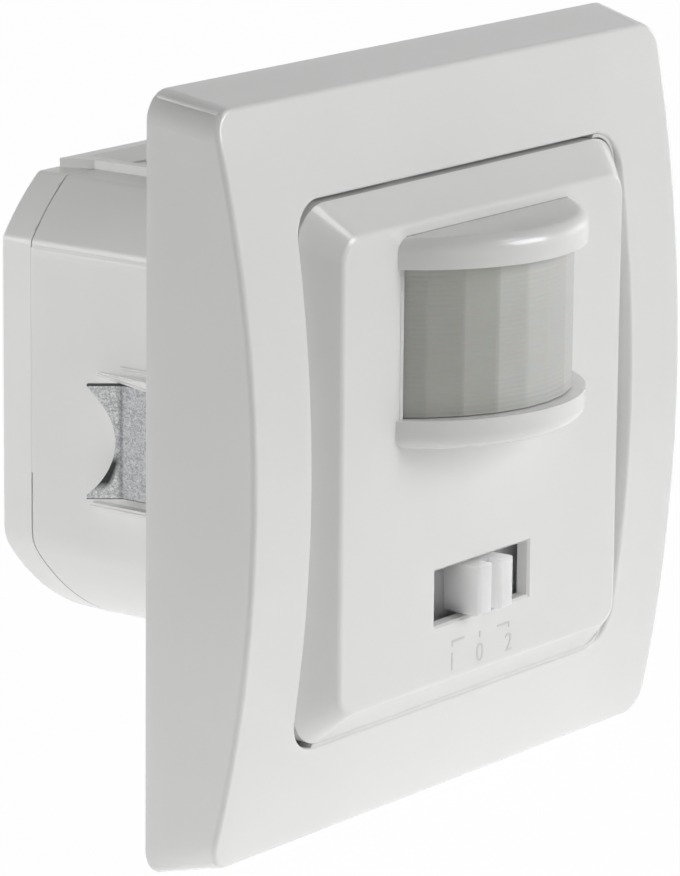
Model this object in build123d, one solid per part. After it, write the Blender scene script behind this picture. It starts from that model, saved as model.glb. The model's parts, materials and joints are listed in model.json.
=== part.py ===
from build123d import *
import math
import os

# Motion sensor light switch for a round flush wall box, in millimetres.
# X is right as seen from the room, Y goes back into the wall, Z is up.
# The origin is the middle of the mounting plate's back face, on the wall plane.

# Driving sizes of the cover frame
frame_half = 40.0
frame_depth_middle = 11.76
frame_depth_edge = 7.0
frame_draft_share = 0.209
frame_corner_radius = 3.0
frame_wall = 2.0
frame_edge_radius = 0.6
frame_opening_half = 28.25
frame_opening_radius = 4.0
frame_opening_round = 0.35
frame_lip_wall = 1.5
frame_lip_stand_off = 0.2
frame_notch_half = 7.0
frame_notch_depth = 3.2

# Driving sizes of the mounting plate and its slots
plate_edge_gap = 2.5
plate_thickness = 1.0
plate_corner_radius = 6.0
plate_window_half_width = 14.0
plate_window_bottom = -10.0
plate_window_top = 22.0
box_screw_spacing = 60.0
box_slot_radius = 1.8
box_slot_length = 6.0

# Driving sizes of the centre cover
cover_gap = 0.4
cover_front = 12.6
cover_bevel = 3.35
cover_wall = 1.5
cover_corner_radius = 4.2
cover_front_corner_radius = 2.4
cover_edge_radius = 0.9
cover_skirt_end = 3.0
cover_rib_half = 4.0
cover_rib_height = 0.2

# Hood above the lens and lip below it
hood_side_margin = 6.0
hood_top_margin = 1.15
hood_reach = 8.6
hood_height = 3.15
lip_height = 3.15
hood_round = 1.5

# Curved lens and the frame that holds it from behind
lens_inset = 0.4
lens_set_back = 1.6
lens_height = 15.55
lens_thickness = 0.6
lens_clearance = 0.1
lens_flange_margin = 2.2
lens_flange_thickness = 0.8
retainer_margin = 1.5
retainer_thickness = 1.2

# Window and knob of the slide switch
switch_bottom_margin = 6.1
switch_window_half_width = 8.35
switch_window_half_height = 2.95
switch_window_chamfer = 0.25
knob_proud = 1.8
knob_half_width = 3.05
knob_clearance = 0.3
knob_groove_half = 0.7
knob_groove_depth = 1.6
knob_round = 0.35
knob_travel = 2.9
knob_floor_depth = 2.8
knob_plate_thickness = 1.2
knob_plate_half_height = 3.9
knob_plate_overlap = 0.35

# Carrier frame in front of the plate
carrier_gap = 0.45
carrier_base = 2.4
carrier_wall = 1.2
carrier_wall_height = 3.2
carrier_opening_half_width = 8.0
carrier_opening_height = 4.0
carrier_post_height = 0.8
carrier_post_radius = 2.0

# Screws that hold carrier, plate and housing together
fixing_upper_inset_x = 4.3
fixing_upper_inset_z = 7.75
fixing_lower_inset_x = 7.8
fixing_lower_inset_z = 10.8
fixing_screw_radius = 1.25
fixing_head_radius = 2.2
fixing_head_height = 1.4
fixing_head_floor = 0.9
fixing_screw_length = 8.0
fixing_boss_radius = 2.6
fixing_boss_depth = 10.0
fixing_clearance = 0.15
screw_slot_width = 0.7
screw_slot_depth = 0.7

# Housing behind the wall plane
housing_half_width = 23.3
housing_top = 25.25
housing_bottom = -25.3
housing_arc_radius = 28.3
housing_arc_height = 3.0
housing_wall = 1.8
housing_depth = 28.8
housing_shoulder_round = 1.2
housing_hip_round = 4.0
cap_depth = 3.9
cap_seam = 0.2
cap_wall = 1.8
cap_rear_round = 0.25
cap_spigot_depth = 2.0
cap_spigot_wall = 1.2
cap_clearance = 0.1

# Raised rim and bay over the terminals
bay_half_width = 13.0
bay_rim_wall = 1.5
bay_rim_height = 0.95
bay_rear_inset = 0.5
bay_flare = 1.5
bay_floor_drop = 0.85

# Terminal block, three poles side by side
pole_pitch = 7.4
pole_count = 3
block_depth = 11.75
block_clearance = 0.15
block_front_clearance = 0.4
block_height = 12.0
block_wall = 1.2
block_top_web = 0.4
block_lid_thickness = 0.7
chamber_depth = 7.0
chamber_clearance = 0.2
cage_half_width = 2.8
cage_length = 5.6
cage_wall = 0.75
cage_rise = 2.4
cage_floor = 1.0
wire_gap = 3.2
wire_hole_radius = 1.7
bar_half_width = 1.7
bar_thickness = 0.8
bar_cage_gap = 0.1
terminal_screw_radius = 1.7
terminal_thread_clearance = 0.06
terminal_head_radius = 2.2
terminal_head_height = 1.6
terminal_head_clearance = 0.3
terminal_driver_radius = 1.95

# Spreading claws, their pins and screws
claw_height_half = 6.0
claw_sheet = 1.0
claw_side_gap = 0.7
claw_crease = 15.4
claw_flare_length = 3.9
claw_flare_angle = 39.0
claw_bite_radius = 7.9
claw_bite_depth = 2.6
claw_pin_inset = 5.1
claw_pin_y = 4.6
claw_pin_radius = 0.7
claw_pin_clearance = 0.07
claw_barrel_radius = 1.6
claw_bend_radius = 0.8
claw_screw_inset = 1.7
claw_screw_radius = 1.5
claw_screw_length = 11.0
claw_head_radius = 3.0
claw_head_height = 2.3
claw_slot_extra = 0.9
claw_slot_side = 0.3
claw_hole_clearance = 0.3
claw_driver_clearance = 0.6
pocket_gap = 0.3
pocket_wall = 1.2
pocket_depth = 11.4
guide_height = 0.85
guide_tip_height = 0.25
guide_gap = 0.2
guide_reach = 2.9
guide_start = 1.5
guide_full = 11.2
guide_end = 20.1
guide_step_reach = 0.5
guide_step_height = 0.45
guide_step_end = 16.8
rail_gap = 1.2
rail_height = 0.35
rail_reach = 1.0

# Main board and what stands on it
board_thickness = 1.6
main_board_gap = 0.2
main_board_side_gap = 1.1
main_board_bottom_gap = 3.0
main_board_top_gap = 0.65
main_board_arc_inset = 2.2
relay_size_x = 10.2
relay_front_gap = 2.8
relay_size_z = 18.4
relay_x = -7.4
relay_bottom_margin = 3.3
relay_round = 0.5
film_size_x = 6.0
film_size_y = 12.0
film_size_z = 13.0
film_x = 11.8
film_z = -3.0
film_round = 0.4
can_radius = 4.0
can_height = 12.0
can_x = 2.4
can_z = -14.0
can_groove_depth = 0.35
can_groove_width = 0.8
varistor_radius = 4.5
varistor_thickness = 3.6
varistor_x = 12.0
varistor_z = 10.5
varistor_lead_radius = 0.4
varistor_lead_spacing = 5.0
varistor_stand = 1.0
fuse_radius = 1.7
fuse_length = 8.0
fuse_x = -10.0
fuse_z = 8.5
fuse_cap_length = 1.4
fuse_cap_extra = 0.15

# Front board and what stands on it
front_board_side_room = 7.3
front_board_bottom_room = 4.2
front_board_top_room = 3.3
front_board_corner = 1.5
link_pin_count = 5
link_pin_pitch = 2.54
link_pin_width = 0.64
link_block_thickness = 2.4
link_block_margin = 0.95
pyro_radius = 4.1
pyro_flange_radius = 4.6
pyro_flange_height = 0.6
pyro_height = 4.2
pyro_window_width = 4.0
pyro_window_height = 3.2
pyro_window_depth = 0.3
pyro_round = 0.5
light_radius = 1.3
light_rim_radius = 1.7
light_rim_height = 0.8
light_height = 2.8
light_gap = 2.7
chip_length = 9.8
chip_breadth = 3.9
chip_thickness = 1.4
chip_edge_margin = 4.4
chip_leg_count = 7
chip_leg_pitch = 1.27
chip_leg_width = 0.4
chip_leg_reach = 1.0
chip_leg_thickness = 0.3
trimmer_half = 3.6
trimmer_height = 1.8
trimmer_edge_margin = 5.8
trimmer_rise = 10.25
dial_radius = 2.9
dial_height = 1.0
dial_gap = 0.1
dial_stem_radius = 1.2
dial_stem_length = 1.0
dial_slot_width = 0.8
dial_slot_depth = 0.6
dial_slot_length_share = 0.75
slide_body_half_width = 6.4
slide_body_half_height = 2.4
slide_body_height = 2.4
slider_half_width = 1.2
slider_half_height = 0.9
slider_clearance = 0.2
slider_socket = 0.6

# One overrun for every cut that runs past a face
overrun = 1.0

# Places worked out from the sizes above
plate_front = -plate_thickness
plate_half = frame_half - frame_wall - plate_edge_gap
cover_half = frame_opening_half - cover_gap
cover_front_half = cover_half - cover_bevel
cover_foot = cover_front - cover_bevel
cover_inner_front = cover_front - cover_wall
hood_radius = cover_front_half - hood_side_margin
hood_bottom = cover_front_half - hood_top_margin - hood_height
hood_centre_y = -cover_front - hood_reach + hood_radius
lens_radius = hood_radius - lens_inset
lens_bottom = hood_bottom - lens_height
lens_centre_y = -cover_front - hood_reach + lens_set_back + lens_radius
lens_flange_half = lens_radius + lens_inset
lens_middle_z = (lens_bottom + hood_bottom) / 2
carrier_half = cover_half - cover_wall - carrier_gap
carrier_front = plate_front - carrier_base
front_board_back = carrier_front - carrier_post_height
front_board_front = front_board_back - board_thickness
front_board_half_width = carrier_half - carrier_wall - front_board_side_room
front_board_bottom = -(carrier_half - carrier_wall - front_board_bottom_room)
front_board_top = carrier_half - carrier_wall - front_board_top_room
switch_height = -cover_front_half + switch_bottom_margin + switch_window_half_height
knob_front = -cover_front - knob_proud
knob_plate_front = -cover_front + knob_floor_depth
knob_plate_back = knob_plate_front + knob_plate_thickness
knob_half_height = switch_window_half_height - knob_clearance
knob_plate_half_width = switch_window_half_width + knob_travel + knob_plate_overlap
slide_body_front = front_board_front - slide_body_height
cap_front = housing_depth + cap_seam
cap_rear = cap_front + cap_depth
bay_rear = cap_rear - bay_rear_inset
bay_rim_top = housing_top + bay_rim_height
bay_inner_half = bay_half_width - bay_rim_wall
block_top = housing_top - bay_floor_drop
block_bottom = block_top - block_height
block_rear = cap_rear - cap_wall - block_clearance
block_front = block_rear - block_depth
bay_front = block_front - block_front_clearance - bay_rim_wall
block_half_width = bay_inner_half - block_clearance
chamber_front = block_front + block_wall
chamber_rear = chamber_front + chamber_depth
chamber_half = cage_half_width + chamber_clearance
cage_bottom = block_bottom + cage_floor
cage_inner_bottom = cage_bottom + cage_wall
bar_bottom = cage_inner_bottom + wire_gap
bar_top = bar_bottom + bar_thickness
cage_top = bar_top + bar_cage_gap + cage_wall
chamber_top = cage_top + cage_rise + chamber_clearance
terminal_seat = chamber_top + block_top_web
terminal_y = (chamber_front + chamber_rear) / 2
wire_hole_z = (cage_inner_bottom + bar_bottom) / 2
claw_inner_x = housing_half_width + claw_side_gap
claw_pin_x = housing_half_width - claw_pin_inset
claw_screw_x = housing_half_width - claw_screw_inset
pocket_inner_x = claw_pin_x - claw_barrel_radius - pocket_gap
pocket_half_height = claw_height_half + guide_gap
main_board_rear = block_front - main_board_gap
main_board_front = main_board_rear - board_thickness
main_board_half_width = housing_half_width - housing_wall - main_board_side_gap
main_board_bottom = housing_bottom + housing_wall + main_board_bottom_gap
main_board_top = housing_top - housing_wall - main_board_top_gap
relay_size_y = main_board_front - relay_front_gap
relay_z = main_board_bottom + relay_bottom_margin + relay_size_z / 2
light_x = pyro_flange_radius + light_gap + light_rim_radius
chip_x = -front_board_half_width + chip_edge_margin
trimmer_x = front_board_half_width - trimmer_edge_margin
trimmer_z = switch_height + trimmer_rise


def front_plane(y):
    """A drawing plane square to Y; its normal points at the room."""
    return Plane(origin=(0, y, 0), x_dir=(1, 0, 0), z_dir=(0, -1, 0))


def prism(outline, back, front):
    """An outline seen from the room, made solid from back to front."""
    return extrude(front_plane(back) * outline, back - front)


def slab(outline, low, high):
    """An outline seen from above, made solid from low to high."""
    return extrude(Plane.XY.offset(low) * outline, high - low)


def block(low, high):
    """A box given by its lowest and highest corners."""
    size = [b - a for a, b in zip(low, high)]
    middle = [(a + b) / 2 for a, b in zip(low, high)]
    return Pos(*middle) * Box(*size)


def rod_y(radius, back, front, x, z):
    return prism(Pos(x, z) * Circle(radius), back, front)


def rod_z(radius, low, high, x, y):
    return slab(Pos(x, y) * Circle(radius), low, high)


def rod_x(radius, left, right, y, z):
    turned = Plane(origin=(left, 0, 0), x_dir=(0, 1, 0), z_dir=(1, 0, 0))
    return extrude(turned * (Pos(y, z) * Circle(radius)), right - left)


def square(half, radius):
    return RectangleRounded(2 * half, 2 * half, radius)


def mirrored(shape):
    return mirror(shape, Plane.YZ)


def slotted_screw(radius, head_radius, head_height, length):
    """A screw whose head stands on the local XY plane, its shank below it."""
    head = slab(Circle(head_radius), 0, head_height)
    shank = slab(Circle(radius), -length, 0)
    slot = block(
        (-head_radius - overrun, -screw_slot_width / 2, head_height - screw_slot_depth),
        (head_radius + overrun, screw_slot_width / 2, head_height + overrun),
    )
    return head + shank - slot


# Cover frame
def frame_pyramid(half, radius, depth):
    """A square block whose four sides lean inwards towards the room."""
    back = front_plane(0) * square(half, radius)
    front = front_plane(-depth) * square(half - frame_draft_share * depth, radius)
    return loft([back, front], ruled=True)


def frame_bow(inset):
    """A large cylinder that gives the front its bow from top to bottom."""
    half_height = frame_half - frame_draft_share * frame_depth_edge
    rise = frame_depth_middle - frame_depth_edge
    radius = (half_height**2 + rise**2) / (2 * rise)
    centre = radius - frame_depth_middle
    return rod_x(radius - inset, -frame_half - overrun, frame_half + overrun, centre, 0)


def cover_frame():
    reach = frame_depth_middle + overrun
    shell = frame_pyramid(frame_half, frame_corner_radius, reach) & frame_bow(0)
    bowed = shell.faces().sort_by(Axis.Y)[0]
    shell = fillet(bowed.edges(), frame_edge_radius)
    inner_radius = frame_corner_radius - frame_wall / 2
    hollow = frame_pyramid(frame_half - frame_wall, inner_radius, reach) & frame_bow(frame_wall)
    lip_outline = square(frame_opening_half + frame_lip_wall, frame_opening_radius + frame_lip_wall)
    lip_back = plate_front - frame_lip_stand_off
    lip = prism(lip_outline, lip_back, -reach) & frame_bow(frame_wall / 2)
    opening = prism(square(frame_opening_half, frame_opening_radius), overrun, -reach)
    frame = shell - hollow + lip - opening
    half = frame_half
    for turn in (0, 90):
        notch = block(
            (-half, lip_back - frame_notch_depth, -frame_notch_half),
            (half, lip_back + overrun, frame_notch_half),
        )
        lip_zone = block(
            (-half + frame_wall * 2, lip_back - reach, -half + frame_wall * 2),
            (half - frame_wall * 2, lip_back + overrun, half - frame_wall * 2),
        )
        frame -= (Rot(0, turn, 0) * notch) & lip_zone
    rim = [
        e
        for e in frame.edges()
        if e.center().Y < -frame_depth_edge
        and max(abs(e.center().X), abs(e.center().Z)) < frame_opening_half + frame_opening_round
    ]
    return fillet(rim, frame_opening_round)


# Mounting plate, with a slot for a box screw at each side
def mounting_plate():
    outline = square(plate_half, plate_corner_radius)
    window_height = plate_window_top - plate_window_bottom
    window_middle = (plate_window_top + plate_window_bottom) / 2
    outline -= Pos(0, window_middle) * Rectangle(2 * plate_window_half_width, window_height)
    slot = SlotOverall(box_slot_length, 2 * box_slot_radius)
    for turn in (0, 90, 180, 270):
        outline -= Rot(0, 0, turn) * Pos(box_screw_spacing / 2, 0) * slot
    for side in (-1, 1):
        outline -= Pos(side * claw_screw_x, 0) * Circle(claw_screw_radius + claw_hole_clearance)
    for x, z in fixing_places():
        outline -= Pos(x, z) * Circle(fixing_screw_radius + fixing_clearance)
    return prism(outline, 0, plate_front)


def fixing_places():
    upper_x = housing_half_width - fixing_upper_inset_x
    upper_z = housing_top - fixing_upper_inset_z
    lower_x = housing_half_width - fixing_lower_inset_x
    lower_z = housing_bottom + fixing_lower_inset_z
    upper = [(side * upper_x, upper_z) for side in (-1, 1)]
    lower = [(side * lower_x, lower_z) for side in (-1, 1)]
    return upper + lower


# Housing outline: a circle cut by flats at the sides, top and bottom
def housing_outline(inset):
    half = housing_half_width - inset
    height = housing_top - housing_bottom - 2 * inset
    middle = (housing_top + housing_bottom) / 2
    outline = Pos(0, housing_arc_height) * Circle(housing_arc_radius - inset)
    outline &= Pos(0, middle) * Rectangle(2 * half, height)
    shortest = min(e.length for e in outline.edges())
    upper = [v for v in outline.vertices() if v.Y > 0]
    outline = fillet(upper, min(housing_shoulder_round, shortest / 4))
    hips = [v for v in outline.vertices() if v.Y < 0 and abs(v.X) > half - housing_wall / 2]
    return fillet(hips, housing_hip_round)


def housing_body():
    body = prism(housing_outline(0), housing_depth, 0)
    inner = housing_outline(housing_wall)
    hollow = prism(inner, housing_depth + overrun, -overrun)
    body -= hollow
    pocket_outer_x = housing_half_width - housing_wall / 2
    for side in (-1, 1):
        walls = block(
            (pocket_inner_x - pocket_wall, 0, -pocket_half_height - pocket_wall),
            (pocket_outer_x, pocket_depth + pocket_wall, pocket_half_height + pocket_wall),
        )
        pocket = block(
            (pocket_inner_x, -overrun, -pocket_half_height),
            (housing_half_width + guide_reach + overrun, pocket_depth, pocket_half_height),
        )
        body += walls if side > 0 else mirrored(walls)
        body -= pocket if side > 0 else mirrored(pocket)
    for x, z in fixing_places():
        body += rod_y(fixing_boss_radius, fixing_boss_depth, 0, x, z) & body_envelope()
        body += boss_web(x, z)
    for x, z in fixing_places():
        body -= rod_y(fixing_screw_radius, fixing_screw_length, -overrun, x, z)
    body += bay_rim(bay_front, housing_depth, 0)
    body -= bay_cut(bay_front + bay_rim_wall, housing_depth + overrun)
    for side in (-1, 1):
        ledges = guide_ledge() + guide_step() + guide_rail()
        body += ledges if side > 0 else mirrored(ledges)
        body -= claw_pin(side)
    return body


def body_envelope():
    return prism(housing_outline(housing_wall / 2), housing_depth, 0)


def boss_web(x, z):
    """A rib that joins a screw boss to the nearest housing wall."""
    side = math.copysign(1, x)
    half = fixing_boss_radius / 2
    web = block(
        (min(x, side * housing_half_width), 0, z - half),
        (max(x, side * housing_half_width), fixing_boss_depth, z + half),
    )
    return (web & body_envelope()) - rod_y(fixing_boss_radius / 2, housing_depth, -overrun, x, z)


def guide_ledge():
    """A wedge on the side wall, above the claw, thin at its rear tip."""
    inner = housing_half_width - housing_wall / 2
    outer = housing_half_width + guide_reach
    plan = Polygon(
        (inner, guide_start),
        (outer, guide_start),
        (outer, guide_full),
        (housing_half_width, guide_end),
        (inner, guide_end),
        align=None,
    )
    low = claw_height_half + guide_gap
    profile = Polygon(
        (guide_start, low),
        (guide_end, low),
        (guide_end, low + guide_tip_height),
        (guide_full, low + guide_height),
        (guide_start, low + guide_height),
        align=None,
    )
    across = Plane(origin=(inner, 0, 0), x_dir=(0, 1, 0), z_dir=(1, 0, 0))
    return slab(plan, low, low + guide_height) & extrude(across * profile, outer - inner)


def guide_step():
    """A shallow strip that runs along the top of the wedge."""
    low = claw_height_half + guide_gap
    return block(
        (housing_half_width - housing_wall / 2, guide_start, low),
        (housing_half_width + guide_step_reach, guide_step_end, low + guide_height + guide_step_height),
    )


def guide_rail():
    """A thin rail on the side wall, below the claw."""
    top = -claw_height_half - rail_gap
    return block(
        (housing_half_width - housing_wall / 2, guide_start, top - rail_height),
        (housing_half_width + rail_reach, guide_end, top),
    )


def bay_rim(front, rear, flare):
    """A length of the raised rim round the terminal bay, wider at its rear by the flare."""
    half = bay_half_width
    outline = Polygon(
        (-half, front),
        (half, front),
        (half + flare, rear),
        (-half - flare, rear),
        align=None,
    )
    return slab(outline, housing_top - housing_wall, bay_rim_top)


def bay_cut(front, rear):
    half = bay_inner_half
    return block(
        (-half, front, block_bottom),
        (half, rear, bay_rim_top + overrun),
    )


# Rear cap: a shallow lid with a spigot that enters the housing
def rear_cap():
    lid = prism(housing_outline(0), cap_rear, cap_front)
    rear = lid.faces().sort_by(Axis.Y)[-1]
    lid = fillet(rear.edges(), cap_rear_round)
    lid -= prism(housing_outline(cap_wall), cap_rear - cap_wall, cap_front - overrun)
    gap = housing_wall + cap_clearance
    spigot_front = cap_front - cap_spigot_depth
    spigot = prism(housing_outline(gap), cap_rear - cap_wall, spigot_front)
    spigot -= prism(housing_outline(gap + cap_spigot_wall), cap_rear, spigot_front - overrun)
    lid += spigot
    lid += bay_rim(cap_front, bay_rear, bay_flare)
    lid -= bay_cut(spigot_front - overrun, bay_rear - bay_rim_wall)
    half = bay_inner_half + block_clearance
    lid -= block(
        (-half, spigot_front - overrun, block_bottom - block_clearance),
        (half, cap_rear - cap_wall, block_top + block_clearance),
    )
    for x in pole_places():
        lid -= rod_y(wire_hole_radius, cap_rear + overrun, block_rear - overrun, x, wire_hole_z)
    return lid


def pole_places():
    first = -pole_pitch * (pole_count - 1) / 2
    return [first + pole_pitch * i for i in range(pole_count)]


# Terminal block with one chamber for each pole, and its lid
def terminal_block():
    lid_bottom = block_top - block_lid_thickness
    body = block(
        (-block_half_width, block_front, block_bottom),
        (block_half_width, block_rear, lid_bottom),
    )
    for x in pole_places():
        chamber = block(
            (x - chamber_half, chamber_front, cage_bottom - chamber_clearance),
            (x + chamber_half, chamber_rear, chamber_top),
        )
        bar_slot = block(
            (x - bar_half_width, block_front - overrun, bar_bottom),
            (x + bar_half_width, chamber_front + overrun, bar_top),
        )
        body -= chamber + bar_slot
        body -= rod_y(wire_hole_radius, block_rear + overrun, chamber_rear - overrun, x, wire_hole_z)
        shank_hole = terminal_screw_radius + terminal_head_clearance
        head_hole = terminal_head_radius + terminal_head_clearance
        body -= rod_z(shank_hole, chamber_top - overrun, terminal_seat + overrun, x, terminal_y)
        body -= rod_z(head_hole, terminal_seat, block_top, x, terminal_y)
    return body


def terminal_lid():
    lid_bottom = block_top - block_lid_thickness
    lid = block(
        (-block_half_width, block_front, lid_bottom),
        (block_half_width, block_rear, block_top),
    )
    for x in pole_places():
        lid -= rod_z(terminal_driver_radius, lid_bottom - overrun, block_top + overrun, x, terminal_y)
    return lid


def terminal_bar(x):
    """The brass strip that the wire is clamped against, up to the main board."""
    return block(
        (x - bar_half_width, main_board_rear, bar_bottom),
        (x + bar_half_width, chamber_rear, bar_top),
    )


def terminal_clamp(x):
    """A square cage round the strip; the screw lifts it."""
    front = terminal_y - cage_length / 2
    rear = terminal_y + cage_length / 2
    cage = block((x - cage_half_width, front, cage_bottom), (x + cage_half_width, rear, cage_top))
    inner = cage_half_width - cage_wall
    cage -= block(
        (x - inner, front - overrun, cage_inner_bottom),
        (x + inner, rear + overrun, cage_top - cage_wall),
    )
    hole = terminal_screw_radius + terminal_thread_clearance
    return cage - rod_z(hole, cage_top - cage_wall - overrun, cage_top + overrun, x, terminal_y)


def terminal_screw(x):
    length = terminal_seat - bar_top - bar_cage_gap / 2
    screw = slotted_screw(terminal_screw_radius, terminal_head_radius, terminal_head_height, length)
    return Pos(x, terminal_y, terminal_seat) * screw


# Carrier frame, the tray in front of the plate that holds the front board
def carrier_frame():
    tray = prism(square(carrier_half, cover_corner_radius), plate_front, carrier_front)
    wall_front = carrier_front - carrier_wall_height
    wall = prism(square(carrier_half, cover_corner_radius), carrier_front, wall_front)
    inner_radius = cover_corner_radius - carrier_wall
    inner = square(carrier_half - carrier_wall, inner_radius)
    wall -= prism(inner, carrier_front + overrun, wall_front - overrun)
    tray += wall
    link_z = link_height()
    opening = Pos(0, link_z) * Rectangle(2 * carrier_opening_half_width, carrier_opening_height)
    tray -= prism(opening, 0, carrier_front - overrun)
    for side in (-1, 1):
        access = claw_head_radius + claw_driver_clearance
        tray -= rod_y(access, 0, carrier_front - overrun, side * claw_screw_x, 0)
    seat = plate_front - fixing_head_floor
    for x, z in fixing_places():
        tray -= rod_y(fixing_screw_radius + fixing_clearance, 0, carrier_front - overrun, x, z)
        tray -= rod_y(fixing_head_radius + fixing_clearance, seat, carrier_front - overrun, x, z)
    for x, z in post_places():
        tray += rod_y(carrier_post_radius, carrier_front, front_board_back, x, z)
    return tray


def post_places():
    x = front_board_half_width - carrier_post_radius
    low = front_board_bottom + carrier_post_radius
    high = front_board_top - carrier_post_radius
    return [(-x, low), (x, low), (-x, high), (x, high)]


def link_height():
    return front_board_top - link_block_margin - link_pin_width


def fixing_screws():
    seat = plate_front - fixing_head_floor
    length = fixing_screw_length + seat - fixing_head_floor
    screws = []
    for x, z in fixing_places():
        screw = slotted_screw(fixing_screw_radius, fixing_head_radius, fixing_head_height, length)
        screws.append(Pos(x, seat, z) * (Rot(90, 0, 0) * screw))
    return Compound(children=screws)


# Boards
def main_board():
    height = main_board_top - main_board_bottom
    middle = (main_board_top + main_board_bottom) / 2
    outline = Pos(0, middle) * Rectangle(2 * main_board_half_width, height)
    radius = housing_arc_radius - housing_wall - main_board_arc_inset
    outline &= Pos(0, housing_arc_height) * Circle(radius)
    return prism(outline, main_board_rear, main_board_front)


def front_board():
    height = front_board_top - front_board_bottom
    middle = (front_board_top + front_board_bottom) / 2
    outline = Pos(0, middle) * RectangleRounded(2 * front_board_half_width, height, front_board_corner)
    return prism(outline, front_board_back, front_board_front)


def standing_box(x, z, width, depth, height, foot, radius):
    """A component that stands on a board's front face, its corners rounded."""
    body = prism(Pos(x, z) * Rectangle(width, height), foot, foot - depth)
    upright = body.edges().filter_by(Axis.Y)
    top = body.faces().sort_by(Axis.Y)[0].edges()
    return fillet(upright + top, radius)


def relay():
    return standing_box(
        relay_x, relay_z, relay_size_x, relay_size_y, relay_size_z, main_board_front, relay_round
    )


def film_capacitor():
    return standing_box(film_x, film_z, film_size_x, film_size_y, film_size_z, main_board_front, film_round)


def smoothing_capacitor():
    can = rod_y(can_radius, main_board_front, main_board_front - can_height, can_x, can_z)
    top = can.faces().sort_by(Axis.Y)[0].edges()
    can = fillet(top, can_groove_depth)
    groove_back = main_board_front - can_groove_width
    groove_front = groove_back - can_groove_width
    groove = rod_y(can_radius + overrun, groove_back, groove_front, can_x, can_z)
    groove -= rod_y(can_radius - can_groove_depth, groove_back, groove_front, can_x, can_z)
    return can - groove


def varistor():
    centre_y = main_board_front - varistor_stand - varistor_radius
    left = varistor_x - varistor_thickness / 2
    disc = rod_x(varistor_radius, left, left + varistor_thickness, centre_y, varistor_z)
    disc = fillet(disc.edges().filter_by(GeomType.CIRCLE), varistor_thickness / 4)
    for step in (-1, 1):
        z = varistor_z + step * varistor_lead_spacing / 2
        disc += rod_y(varistor_lead_radius, main_board_front, centre_y, varistor_x, z)
    return disc


def fuse_resistor():
    centre_y = main_board_front - fuse_radius - fuse_cap_extra
    left = fuse_x - fuse_length / 2
    right = fuse_x + fuse_length / 2
    body = rod_x(fuse_radius, left, right, centre_y, fuse_z)
    for end in (left, right - fuse_cap_length):
        body += rod_x(fuse_radius + fuse_cap_extra, end, end + fuse_cap_length, centre_y, fuse_z)
    return body


def link_pins():
    """The pins from the main board to the front board, in their two blocks."""
    z = link_height()
    first = -link_pin_pitch * (link_pin_count - 1) / 2
    reach = first - link_pin_pitch / 2
    half = link_pin_width / 2
    spacer = block(
        (reach, main_board_front - link_block_thickness, z - link_block_margin),
        (-reach, main_board_front, z + link_block_margin),
    )
    for i in range(link_pin_count):
        x = first + link_pin_pitch * i
        spacer += block((x - half, front_board_back, z - half), (x + half, main_board_front, z + half))
    return spacer


# Sensors and controls on the front board
def pyro_sensor():
    foot = front_board_front
    top = foot - pyro_height
    can = rod_y(pyro_radius, foot, top, 0, lens_middle_z)
    can = fillet(can.faces().sort_by(Axis.Y)[0].edges(), pyro_round)
    can += rod_y(pyro_flange_radius, foot, foot - pyro_flange_height, 0, lens_middle_z)
    window = Pos(0, lens_middle_z) * Rectangle(pyro_window_width, pyro_window_height)
    return can - prism(window, top + pyro_window_depth, top - overrun)


def pyro_window():
    top = front_board_front - pyro_height
    window = Pos(0, lens_middle_z) * Rectangle(pyro_window_width, pyro_window_height)
    return prism(window, top + pyro_window_depth, top)


def light_sensor():
    foot = front_board_front
    dome_y = foot - light_height + light_radius
    body = rod_y(light_radius, foot, dome_y, light_x, lens_middle_z)
    body += rod_y(light_rim_radius, foot, foot - light_rim_height, light_x, lens_middle_z)
    return body + Pos(light_x, dome_y, lens_middle_z) * Sphere(light_radius)


def control_chip():
    foot = front_board_front
    outline = Pos(chip_x, lens_middle_z) * Rectangle(chip_breadth, chip_length)
    body = prism(outline, foot, foot - chip_thickness)
    first = lens_middle_z - chip_leg_pitch * (chip_leg_count - 1) / 2
    reach = chip_breadth / 2 + chip_leg_reach
    half = chip_leg_width / 2
    for i in range(chip_leg_count):
        z = first + chip_leg_pitch * i
        body += block(
            (chip_x - reach, foot - chip_leg_thickness, z - half),
            (chip_x + reach, foot, z + half),
        )
    return body


def trimmer_body(side):
    foot = front_board_front
    x = side * trimmer_x
    outline = Pos(x, trimmer_z) * Rectangle(2 * trimmer_half, 2 * trimmer_half)
    body = prism(outline, foot, foot - trimmer_height)
    hole = dial_stem_radius + dial_gap
    stem_back = foot - trimmer_height + dial_stem_length + dial_gap
    return body - rod_y(hole, stem_back, foot - trimmer_height - overrun, x, trimmer_z)


def trimmer_dial(side):
    x = side * trimmer_x
    back = front_board_front - trimmer_height - dial_gap
    front = back - dial_height
    dial = rod_y(dial_radius, back, front, x, trimmer_z)
    dial += rod_y(dial_stem_radius, back + dial_stem_length, back, x, trimmer_z)
    reach = dial_radius * dial_slot_length_share
    slot = block(
        (x - dial_slot_width / 2, front - overrun, trimmer_z - reach),
        (x + dial_slot_width / 2, front + dial_slot_depth, trimmer_z + reach),
    )
    return dial - slot


def slide_switch_body():
    body = prism(
        Pos(0, switch_height) * Rectangle(2 * slide_body_half_width, 2 * slide_body_half_height),
        front_board_front,
        slide_body_front,
    )
    half_width = slider_half_width + knob_travel + slider_clearance
    half_height = slider_half_height + slider_clearance
    slot = Pos(0, switch_height) * Rectangle(2 * half_width, 2 * half_height)
    return body - prism(slot, slider_back() + slider_clearance, slide_body_front - overrun)


def slider_back():
    return slide_body_front + slide_body_height / 2


def switch_slider():
    outline = Pos(0, switch_height) * Rectangle(2 * slider_half_width, 2 * slider_half_height)
    return prism(outline, slider_back(), knob_plate_back - slider_socket)


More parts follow.
